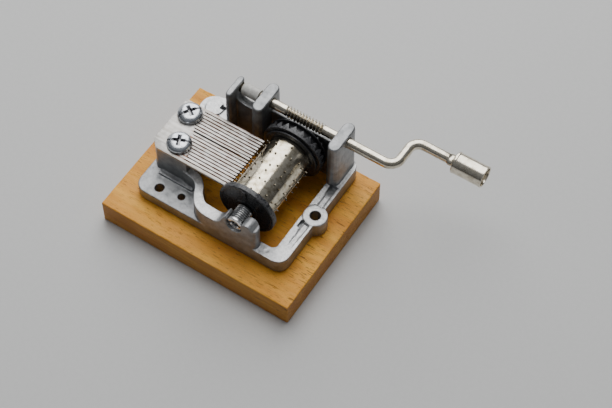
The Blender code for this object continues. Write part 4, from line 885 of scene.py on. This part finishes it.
def add_comb_screws(settings):
    """Comb screws: bright pan heads with a slot and a cross, each turned its own way."""
    past_rim, slot_wall, cross_wall, shank = 9 * MM, 0.07 * MM, 0.3 * MM, 1.45 * MM
    slot = (past_rim, settings.slot_width, settings.slot_depth, slot_wall)
    cross = (settings.cross_length, settings.cross_width, settings.cross_depth, cross_wall)
    arms = [(*slot, False), (*cross, False), (*cross, True)]
    _, comb_high = span("comb")
    base = comb_high[2] + PRESSED_GAP
    # The last colour is the painted shade in the head's recess.
    plate = bright_plate("zinc_plate", settings.light, settings.shade, 0.22, 0.006, "Z", (0.3, 0.3, 0.31))
    for node, turn in zip(COMB_SCREWS, (24, 55)):
        low, high = span(node)
        screw = screw_mesh(node, base, high[2], shank, low[2], arms, math.radians(turn))
        add_piece(node + "_turned", screw, plate, "root", node, sharp=38)


def add_base_screws():
    """Base screws: slotted heads in the board's underside, shanks up into the casting."""
    head, shank = 1.2 * MM, 0.85 * MM
    slot = (5 * MM, 0.7 * MM, 0.5 * MM, 0.07 * MM, False)
    steel = plain_metal("oiled_steel", (0.45, 0.46, 0.48), (0.3, 0.3, 0.31), 0.3, 0.8)
    for index, node in enumerate(BASE_SCREWS):
        low, high = span(node)
        screw = screw_mesh(node, low[2] + head, low[2], shank, high[2], [slot], 0.9 * index, upside=-1)
        add_piece(node + "_turned", screw, steel, "root", node, sharp=38)


def add_front_bush():
    """Front bush: a steel sleeve with a thread outside and a slot across its near end."""
    pitch, depth, half_slot = 0.62 * MM, 0.22 * MM, 0.4 * MM
    low, high = span("front_bush")
    start, end = low[1], high[1]
    radius, bore = (high[0] - low[0]) / 2, ARBOR_RADIUS + RUNNING_GAP
    threaded = np.linspace(start + 0.55 * MM, end - 0.3 * MM, 130)
    profile = [(radius - 0.22 * MM, start), (radius - 0.06 * MM, start + 0.08 * MM),
               (radius, start + 0.2 * MM), (radius, start + 0.45 * MM), *[(radius, y) for y in threaded],
               (radius - 0.2 * MM, end), (bore, end), (bore, start + 0.25 * MM), (bore + 0.25 * MM, start)]

    def thread(reach, place, turn):
        ridge = np.abs((place / pitch - turn / TAU) % 1 - 0.5) * 2
        inside = (place > threaded[0]) & (place < threaded[-1]) & (reach > radius - 0.01 * MM)
        return np.where(inside, reach - depth * ridge, reach)

    points, faces = turned(profile, "Y", CYLINDER_CENTRE, 96, thread)
    from_axis = np.hypot(*(points - np.array(CYLINDER_CENTRE))[:, ::2].T)
    # Marks paint shade in the thread's roots and inside the bore, beyond the first 0.5 mm from the near end.
    marks = np.clip((radius - 0.1 * MM - from_axis) / (0.1 * MM), 0, 1) * (points[:, 1] > start + 0.5 * MM)
    sleeve = mesh_of("front_bush", (points, faces), marks=marks)
    slot = rounded_box((low[0] - MM, start - MM, AXIS_Z - half_slot),
                       (high[0] + MM, start + MM, AXIS_Z + half_slot), 0.06 * MM, 5 * MM)
    bush = carved(sleeve, mesh_of("slot", *slot))
    # dark is the painted shade colour for the marked roots and bore.
    bright, dull, dark = (0.80, 0.80, 0.79), (0.55, 0.55, 0.55), (0.10, 0.10, 0.10)
    steel = bright_plate("bush_steel", bright, dull, 0.24, 0.004, "Y", dark)
    add_piece("bush_front", bush, steel, "root", "front_bush")


def add_rear_bush():
    """Rear bush: a plain brass ring in the back wall."""
    low, high = span("rear_bush")
    radius, bore = (high[0] - low[0]) / 2, ARBOR_RADIUS + RUNNING_GAP
    profile = ring_profile(bore, radius, low[1], high[1], (0.1, 0.2, 0.15, 0.25))
    ring = mesh_of("rear_bush", turned(profile, "Y", CYLINDER_CENTRE))
    brass = plain_metal("turned_brass", (0.78, 0.58, 0.26), (0.55, 0.38, 0.15), 0.25, 0.7)
    add_piece("bush_rear", ring, brass, "root", "rear_bush")


def pin_places(settings):
    """Angles and places along the axis of the pins: equal beats, each pin under the middle of its tooth."""
    comb_low, comb_high = span("comb")
    pitch = (comb_high[1] - comb_low[1]) / TEETH
    angles, places = [], []
    for tooth in range(TEETH):
        beats = sorted({(5 * tooth + 11 * k + 2 * k * k) % settings.beats for k in range(settings.pins)})
        angles += [TAU * beat / settings.beats for beat in beats]
        places += [comb_low[1] + (tooth + 0.5) * pitch] * len(beats)
    return np.array(angles), np.array(places)


def pin_surface(angles, places, radius, reach):
    """All pins as one surface with its marks: each is a peg round its own outward direction.

    Its foot is a low collar, a thin disc on the drum, and its tip a dome; the mark paints shade on the collar
    and up the stem, and leaves the tip bright. Each ring is (radii, height, mark).
    """
    sides = 12
    foot = DRUM_RADIUS + 0.02 * MM
    rings = np.array([(0, foot - 0.1 * MM, 1), (1.7, foot - 0.1 * MM, 1), (1.6, foot, 1),
                      (1.05, foot + 0.03 * MM, 1), (1, foot + 0.1 * MM, 0.7), (1, reach - 0.7 * radius, 0.5),
                      (0.8, reach - 0.25 * radius, 0), (0.4, reach - 0.04 * radius, 0), (0, reach, 0)])
    turn = np.linspace(0, TAU, sides, endpoint=False)
    r, along = radius * rings[:, 0][None, :, None], rings[:, 1][None, :, None]
    a = angles[:, None, None]
    aside = r * np.cos(turn)
    x = AXIS_X + along * np.sin(a) + aside * np.cos(a)
    y = places[:, None, None] + r * np.sin(turn)
    z = AXIS_Z + along * np.cos(a) - aside * np.sin(a)
    points = np.stack(np.broadcast_arrays(x, y, z), -1).reshape(-1, 3)
    starts = np.arange(len(angles)) * len(rings) * sides
    faces = (grid_faces(len(rings), sides)[None] + starts[:, None, None]).reshape(-1, 4)
    return (points, faces), np.tile(np.repeat(rings[:, 2], sides), len(angles))


def add_drum(settings):
    """Drum: a tube with a seam groove along it, and its pins."""
    wall, seam_depth, skin = 0.6 * MM, 0.08 * MM, 0.2 * MM
    low, high = span("cylinder_drum")
    profile = ring_profile(DRUM_RADIUS - wall, DRUM_RADIUS, low[1], high[1], (0, 0.12, 0.12, 0))

    def seam(radius, place, turn):
        off = (turn - (TAU / 4 - settings.seam_place) + TAU / 2) % TAU - TAU / 2
        groove = np.clip(1 - np.abs(off) * DRUM_RADIUS / settings.seam, 0, 1)
        return radius - np.where(radius > DRUM_RADIUS - skin, seam_depth * groove, 0)

    shell = turned(profile, "Y", CYLINDER_CENTRE, 480, seam)
    pins, pin_marks = pin_surface(*pin_places(settings), settings.pin_radius, (high[0] - low[0]) / 2)
    marks = np.concatenate([np.zeros(len(shell[0])), pin_marks])
    # stain is the painted shade colour at the pins' feet and on their stems.
    stain = (0.07, 0.055, 0.04)
    nickel = bright_plate("drum_nickel", settings.light, settings.shade, 0.14, 0.005, "Y", stain)
    drum = mesh_of("drum", shell, pins, marks=marks)
    add_piece("drum", drum, nickel, "cylinder", "cylinder_drum")


def add_end_cap(settings):
    """End cap: a disc with a spigot and a hub, a shallow dish in its face and a rib beside the rim."""
    low, high = span("cylinder_end_cap")
    rim, face, end = (high[0] - low[0]) / 2, low[1], high[1]
    dish = face + 0.18 * MM
    back = span("cylinder_drum")[0][1] - PRESSED_GAP
    bore = ARBOR_RADIUS + PRESSED_GAP
    hub, bowl = bore + MM, SPIGOT_RADIUS - MM
    soft, sharp = 0.05 * MM, 0.1 * MM
    profile = rounded([(bore, face, 0), (3.1 * MM, face, soft), (3.3 * MM, dish, soft),
                       (rim - 1.1 * MM, dish, soft), (rim - 0.8 * MM, face, soft), (rim, face, 0.28 * MM),
                       (rim, back, 0.15 * MM), (SPIGOT_RADIUS, back, 0), (SPIGOT_RADIUS, end, 0.2 * MM),
                       (bowl, end, sharp), (bowl, back, 0), (hub, back, 0), (hub, end, sharp),
                       (bore, end, 0)])
    disc = turned(profile, "Y", CYLINDER_CENTRE, 160)
    middle, half = AXIS_X - 0.5 * MM, settings.rib_width / 2
    rib = rounded_box((middle - half, face - settings.rib_height, AXIS_Z + 3.4 * MM),
                      (middle + half, face + 0.4 * MM, AXIS_Z + 7.9 * MM), 0.1 * MM, 0.8 * MM)
    finish = black_nylon("black_nylon", rim, settings.scuff)
    cap = mesh_of("end_cap", disc, *rib)
    add_piece("end_cap", cap, finish, "cylinder", "cylinder_end_cap", 38)


def add_worm_wheel(settings):
    """Worm wheel: flange, groove, notched band, open pockets, rim, and pointed teeth on its far face.

    Every row of the grid is a ring; the rows of the notched edge and of the teeth move along the axis with
    the angle: the first by a triangle wave, the second by narrow ridges that repeat the frame's teeth.
    """
    notch_tip, rim_start, face, points_per_tooth = 14.2 * MM, 15.2 * MM, 15.5 * MM, 24
    low, high = span("worm_wheel")
    start = span("cylinder_drum")[1][1] + PRESSED_GAP
    flange_end, band_start, hub_top = start + 0.45 * MM, start + 0.7 * MM, face + 0.3 * MM
    band, bore = (high[0] - low[0]) / 2, ARBOR_RADIUS + PRESSED_GAP
    rim, flange, floor = band - 0.3 * MM, band - 0.95 * MM, band - 1.7 * MM
    groove, hub = flange - 0.5 * MM, bore + MM
    land, foot = 0.12 * MM, 0.85 * MM
    small, edge = 0.06 * MM, 0.08 * MM
    angle = np.linspace(0, TAU, WHEEL_TEETH * points_per_tooth, endpoint=False)
    off = np.abs((angle * WHEEL_TEETH / TAU + 0.5) % 1 - 0.5)
    notch = notch_tip - settings.notch * np.clip((off - 0.04) / 0.4, 0, 1)
    aside = off * TAU / WHEEL_TEETH * MESH_RADIUS
    ridge = face + (high[1] - face) * np.clip((0.38 * MM - aside) / (0.31 * MM), 0, 1)
    rows = [(bore, low[1]), (SPIGOT_RADIUS, low[1]), (SPIGOT_RADIUS, start), (flange - edge, start),
            (flange, start + edge), (flange, start + 0.37 * MM), (flange - edge, flange_end),
            (groove, flange_end), (groove, band_start), (band - 0.12 * MM, band_start),
            (band - 0.03 * MM, band_start + 0.04 * MM),
            (band, band_start + 0.12 * MM), (band, notch - 0.1 * MM), (band - 0.04 * MM, notch - 0.03 * MM),
            (band - 0.12 * MM, notch), (floor, notch), (floor, rim_start), (rim - small, rim_start),
            (rim, rim_start + small), (rim, face - small), (rim - small, face), (MESH_RADIUS + foot, face),
            (MESH_RADIUS + land, ridge), (MESH_RADIUS - land, ridge), (MESH_RADIUS - foot, face), (hub, face),
            (hub, hub_top), (bore, hub_top)]
    radius = np.array([r + 0 * angle for r, _ in rows])
    place = np.array([y + 0 * angle for _, y in rows])
    points = np.stack([AXIS_X + radius * np.sin(angle), place, AXIS_Z + radius * np.cos(angle)], -1)
    wheel = mesh_of("worm_wheel", (points.reshape(-1, 3), grid_faces(len(rows), len(angle), close_rows=True)))
    finish = black_nylon("wheel_nylon", band, settings.scuff)
    add_piece("toothed_wheel", wheel, finish, "cylinder", "worm_wheel", 30)


def add_arbor():
    """Arbor: a turned steel shaft with chamfered ends."""
    low, high = span("arbor")
    profile = ring_profile(0, ARBOR_RADIUS, low[1], high[1], (0, 0.25, 0.25, 0))
    steel = plain_metal("turned_steel", (0.52, 0.53, 0.55), (0.36, 0.36, 0.38), 0.24, 0.8)
    shaft = mesh_of("arbor", turned(profile, "Y", CYLINDER_CENTRE, 48))
    add_piece("shaft", shaft, steel, "cylinder", "arbor")


def worm_reach(x):
    """Radii of the worm at places x for every angle: the thread's profile at x / pitch - angle / turn.

    Over one pitch the profile has a flat root, a flank, a flat crest and a flank, and it fades out over most
    of a pitch at both ends.
    """
    sides, fading = 40, 0.7
    end = WORM_START + (WORM_TURNS + 1) * WORM_PITCH
    turn = np.linspace(0, 1, sides, endpoint=False)
    share = ((x[:, None] - WORM_START) / WORM_PITCH - turn) % 1
    root, crest = WORM_ROOT, WORM_OUTER
    profile = np.interp(share, [0, 0.3, 0.58, 0.72, 1], [root, root, crest, crest, root])
    fade = np.clip(np.minimum(x - WORM_START, end - x)[:, None] / (fading * WORM_PITCH), 0, 1)
    return ROD_RADIUS + (profile - ROD_RADIUS) * fade


def crank_stations(settings):
    """Rows along the crank in straight runs, bends, crimp and rivet, with the worm's places and their slice.

    A row is (x, y, heading, reach in rod radii, spread); the spread widens it and thins it in height.
    """
    tip, crimp_length, rivet_length = 0.25 * MM, 1.8 * MM, 1.7 * MM
    left = span("crank")[0][0]
    bend, arm = settings.bend, KNOB_AXIS[1] - ROD_AXIS[1]
    slope = math.atan2(arm, settings.arm_advance)
    run = bend * math.tan(slope / 2)
    first, second = settings.arm_start, settings.arm_start + settings.arm_advance
    turns = np.linspace(0, slope, 20)
    rows = [(left, 0, 0, 0, 1), (left, 0, 0, 1 - tip / ROD_RADIUS, 1), (left + 0.1 * MM, 0, 0, 0.92, 1),
            (left + tip, 0, 0, 1, 1)]
    worm_x = np.linspace(AXIS_X - 6.2 * WORM_PITCH, AXIS_X + 6.9 * WORM_PITCH, 240)
    worm = slice(len(rows), len(rows) + len(worm_x))
    rows += [(x, 0, 0, 1, 1) for x in worm_x]
    first_start, second_end = first - run, second + run
    rows += [(first_start + bend * math.sin(a), bend * (1 - math.cos(a)), a, 1, 1) for a in turns]
    rows += [(second_end - bend * math.sin(a), arm - bend * (1 - math.cos(a)), a, 1, 1) for a in turns[::-1]]
    crimp_end = KNOB_AXIS[0] - 0.3 * MM
    for share, spread in ((0, 1), (0.15, 1.06), (0.35, 1.28), (0.75, 1.3), (0.9, 1.12), (1, 1)):
        rows.append((crimp_end - crimp_length * (1 - share), arm, 0, 1, spread))
    rivet, head = KNOB_AXIS[0] + 1.12 * MM, RIVET_RADIUS / ROD_RADIUS
    end = rivet + rivet_length
    rows += [(rivet, arm, 0, 1, 1), (rivet, arm, 0, head, 1), (end - tip, arm, 0, head, 1),
             (end - 0.08 * MM, arm, 0, 0.92 * head, 1), (end, arm, 0, 0.75 * head, 1), (end, arm, 0, 0, 1)]
    return np.array(rows), worm_x, worm


def add_crank(settings, nickel):
    """Crank: one skin along the bent rod, with the worm's thread, a crimp at the knob and a rivet head."""
    dark_from, dark_over, darkest = 1.14 * MM, 0.12 * MM, 0.8
    rows, worm_x, worm = crank_stations(settings)
    thread = worm_reach(worm_x)
    reach = np.repeat(rows[:, 3:4] * ROD_RADIUS, thread.shape[1], axis=1)
    reach[worm] = thread
    spread = rows[:, 4:5]
    surface = tube(rows[:, :2], rows[:, 2], reach * spread, reach / spread, ROD_CENTRE)
    # Painted shade in the worm's thread roots, darkest where the thread is deepest.
    marks = np.zeros_like(reach)
    marks[worm] = darkest * np.clip((dark_from - thread) / dark_over, 0, 1)
    rod = mesh_of("crank", surface, marks=marks)
    add_piece("crank_rod", rod, nickel, "crank", "crank", sharp=40)


def add_sleeve():
    """Sleeve: a pale tube on the rod with a small collar at its left end."""
    low, high = span("thrust_sleeve")
    reach, bore = (high[2] - low[2]) / 2, ROD_RADIUS + PRESSED_GAP
    profile = rounded([(bore, low[0], 0), (reach - 0.3 * MM, low[0], 0.1 * MM),
                       (reach, low[0] + 0.5 * MM, 0.12 * MM), (reach, high[0], 0.15 * MM),
                       (bore, high[0], 0)])
    sleeve = mesh_of("thrust_sleeve", turned(profile, "X", ROD_CENTRE))
    finish = pale_nylon((0.62, 0.61, 0.57), (0.42, 0.41, 0.38))
    add_piece("sleeve", sleeve, finish, "crank", "thrust_sleeve")


def add_knob(settings, nickel):
    """Knob: a drawn cup with a small bead at its closed end and a rolled lip at its mouth."""
    low, high = span("crank_knob")
    start, end = low[0], high[0]
    reach, hole = (high[2] - low[2]) / 2, ROD_RADIUS + RUNNING_GAP
    floor, side = start + MM, reach - 0.1 * MM
    lip, inner = reach - settings.knob_wall, side - settings.knob_wall
    profile = rounded([(hole, start, 0.08 * MM), (reach, start, 0.3 * MM),
                       (reach, start + 0.62 * MM, 0.1 * MM), (side, start + 0.85 * MM, 0.1 * MM),
                       (side, end - 0.9 * MM, 0.5 * MM),
                       (reach, end - 0.3 * MM, 0.2 * MM), (reach, end, 0.12 * MM), (lip, end, 0.15 * MM),
                       (inner, end - 1.2 * MM, 0.3 * MM), (inner, floor, 0.5 * MM), (hole, floor, 0)])
    knob = mesh_of("crank_knob", turned(profile, "X", (0, KNOB_AXIS[1], KNOB_AXIS[2]), 96))
    add_piece("knob", knob, nickel, "knob", "crank_knob", sharp=40)


def add_floor(settings):
    """Pale paper floor on Z 0."""
    side = 2.0
    corners = [(-side, -side, 0), (side, -side, 0), (side, side, 0), (-side, side, 0)]
    mesh = bpy.data.meshes.new("floor")
    mesh.from_pydata(corners, [], [(0, 1, 2, 3)])
    paper = Finish("floor_paper")
    fibres = paper.noise(1.2, detail=3)
    fibre_colour = tuple(0.97 * c for c in settings.floor)
    tone = paper.mix(paper.band(fibres, 0.3, 0.7), tuple(settings.floor), fibre_colour)
    mesh.materials.append(paper.done(tone, 0.75))
    placed("floor", mesh)


def add_surroundings(settings):
    """Even light from all round: dim at the horizon and brighter overhead."""
    world = bpy.data.worlds.new("surroundings")
    world.use_nodes = True
    nodes, links = world.node_tree.nodes, world.node_tree.links
    way = nodes.new("ShaderNodeSeparateXYZ")
    links.new(nodes.new("ShaderNodeTexCoord").outputs["Generated"], way.inputs[0])
    blend = nodes.new("ShaderNodeMix")
    blend.data_type = "RGBA"
    links.new(way.outputs["Z"], blend.inputs[0])
    blend.inputs[6].default_value = (*settings.horizon, 1)
    blend.inputs[7].default_value = (*settings.zenith, 1)
    links.new(blend.outputs[2], nodes["Background"].inputs["Color"])
    bpy.context.scene.world = world


def add_light(name, way, distance, sizes, energy):
    """Rectangular soft light that faces the object from a direction."""
    light = bpy.data.lights.new(name, "AREA")
    light.shape = "RECTANGLE"
    light.size, light.size_y = sizes
    light.energy = energy
    lamp = placed(name, light)
    lamp.location = Vector(way).normalized() * distance
    lamp.rotation_euler = Vector(way).to_track_quat("Z", "Y").to_euler()


def add_camera(settings):
    """Camera with its view's heading, slope and roll; its columns are right, up and back."""
    azimuth, elevation = settings.azimuth, settings.elevation
    ahead = Vector((math.sin(azimuth) * math.cos(elevation), math.cos(azimuth) * math.cos(elevation),
                    -math.sin(elevation)))
    level = Vector((math.cos(azimuth), -math.sin(azimuth), 0))
    right = Matrix.Rotation(-settings.roll, 3, ahead) @ level
    up = right.cross(ahead)
    lens = bpy.data.cameras.new("camera")
    lens.lens = settings.lens
    lens.clip_start = 0.01
    camera = placed("camera", lens)
    camera.matrix_world = Matrix.Translation(settings.eye) @ Matrix((right, up, -ahead)).transposed().to_4x4()
    bpy.context.scene.camera = camera


# Operators

class MUSICBOX_OT_board(bpy.types.Operator):
    """Adds the wooden board"""
    bl_idname = "musicbox.board"
    bl_label = "Board"

    def execute(self, context):
        add_board(context.scene.musicbox_board)
        return {"FINISHED"}


class MUSICBOX_OT_casting(bpy.types.Operator):
    """Adds the die-cast frame"""
    bl_idname = "musicbox.casting"
    bl_label = "Casting"

    def execute(self, context):
        add_casting(context.scene.musicbox_casting)
        return {"FINISHED"}


class MUSICBOX_OT_comb(bpy.types.Operator):
    """Adds the steel comb"""
    bl_idname = "musicbox.comb"
    bl_label = "Comb"

    def execute(self, context):
        add_comb(context.scene.musicbox_comb)
        return {"FINISHED"}


class MUSICBOX_OT_bass_weights(bpy.types.Operator):
    """Adds the lead weights under the long teeth"""
    bl_idname = "musicbox.bass_weights"
    bl_label = "Bass weights"

    def execute(self, context):
        add_bass_weights()
        return {"FINISHED"}


class MUSICBOX_OT_screws(bpy.types.Operator):
    """Adds the comb screws and the base screws"""
    bl_idname = "musicbox.screws"
    bl_label = "Screws"

    def execute(self, context):
        add_comb_screws(context.scene.musicbox_screws)
        add_base_screws()
        return {"FINISHED"}


class MUSICBOX_OT_bushes(bpy.types.Operator):
    """Adds the two bearing bushes"""
    bl_idname = "musicbox.bushes"
    bl_label = "Bushes"

    def execute(self, context):
        add_front_bush()
        add_rear_bush()
        return {"FINISHED"}


class MUSICBOX_OT_drum(bpy.types.Operator):
    """Adds the pinned drum and its arbor"""
    bl_idname = "musicbox.drum"
    bl_label = "Drum"

    def execute(self, context):
        add_drum(context.scene.musicbox_drum)
        add_arbor()
        return {"FINISHED"}


class MUSICBOX_OT_wheels(bpy.types.Operator):
    """Adds the end cap and the worm wheel"""
    bl_idname = "musicbox.wheels"
    bl_label = "Cap and wheel"

    def execute(self, context):
        add_end_cap(context.scene.musicbox_wheels)
        add_worm_wheel(context.scene.musicbox_wheels)
        return {"FINISHED"}


class MUSICBOX_OT_crank(bpy.types.Operator):
    """Adds the crank with its worm, sleeve and knob"""
    bl_idname = "musicbox.crank"
    bl_label = "Crank"

    def execute(self, context):
        settings = context.scene.musicbox_crank
        # root is the painted shade colour in the worm's thread roots.
        root = (0.10, 0.08, 0.055)
        nickel = bright_plate("crank_nickel", settings.light, settings.shade, 0.19, 0.004, "X", root)
        add_crank(settings, nickel)
        add_sleeve()
        add_knob(settings, nickel)
        return {"FINISHED"}


class MUSICBOX_OT_stage(bpy.types.Operator):
    """Adds the floor, the surroundings, the two lights and the camera"""
    bl_idname = "musicbox.stage"
    bl_label = "Stage"

    def execute(self, context):
        settings = context.scene.musicbox_stage
        add_floor(settings)
        add_surroundings(settings)
        add_light("key", way=(-0.29, 0.51, 0.81), distance=0.6, sizes=(0.56, 0.95), energy=settings.key)
        add_light("fill", way=(-0.86, 0.46, 0.22), distance=0.7, sizes=(0.55, 0.4), energy=settings.fill)
        add_camera(settings)
        return {"FINISHED"}


OPERATORS = [MUSICBOX_OT_stage, MUSICBOX_OT_board, MUSICBOX_OT_casting, MUSICBOX_OT_comb,
             MUSICBOX_OT_bass_weights, MUSICBOX_OT_screws, MUSICBOX_OT_bushes, MUSICBOX_OT_drum,
             MUSICBOX_OT_wheels, MUSICBOX_OT_crank]
SETTINGS = {"musicbox_board": BoardSettings, "musicbox_casting": CastingSettings,
            "musicbox_comb": CombSettings, "musicbox_screws": ScrewSettings, "musicbox_drum": DrumSettings,
            "musicbox_wheels": WheelSettings, "musicbox_crank": CrankSettings,
            "musicbox_stage": StageSettings}


class MUSICBOX_PT_pieces(bpy.types.Panel):
    """Lists the pieces and their settings"""
    bl_idname = "MUSICBOX_PT_pieces"
    bl_label = "Music box"
    bl_space_type = "VIEW_3D"
    bl_region_type = "UI"
    bl_category = "Music box"

    def draw(self, context):
        for operator in OPERATORS:
            self.layout.operator(operator.bl_idname)
        for name, group in SETTINGS.items():
            box = self.layout.box()
            for key in group.__annotations__:
                box.prop(getattr(context.scene, name), key)


def register():
    for group in [*SETTINGS.values(), *OPERATORS, MUSICBOX_PT_pieces]:
        bpy.utils.register_class(group)
    for name, group in SETTINGS.items():
        setattr(bpy.types.Scene, name, PointerProperty(type=group))


def unregister():
    for name in SETTINGS:
        delattr(bpy.types.Scene, name)
    for group in [MUSICBOX_PT_pieces, *OPERATORS[::-1], *SETTINGS.values()]:
        bpy.utils.unregister_class(group)


def main():
    register()
    for operator in OPERATORS:
        module, name = operator.bl_idname.split(".")
        getattr(getattr(bpy.ops, module), name)()


if __name__ == "__main__":
    main()
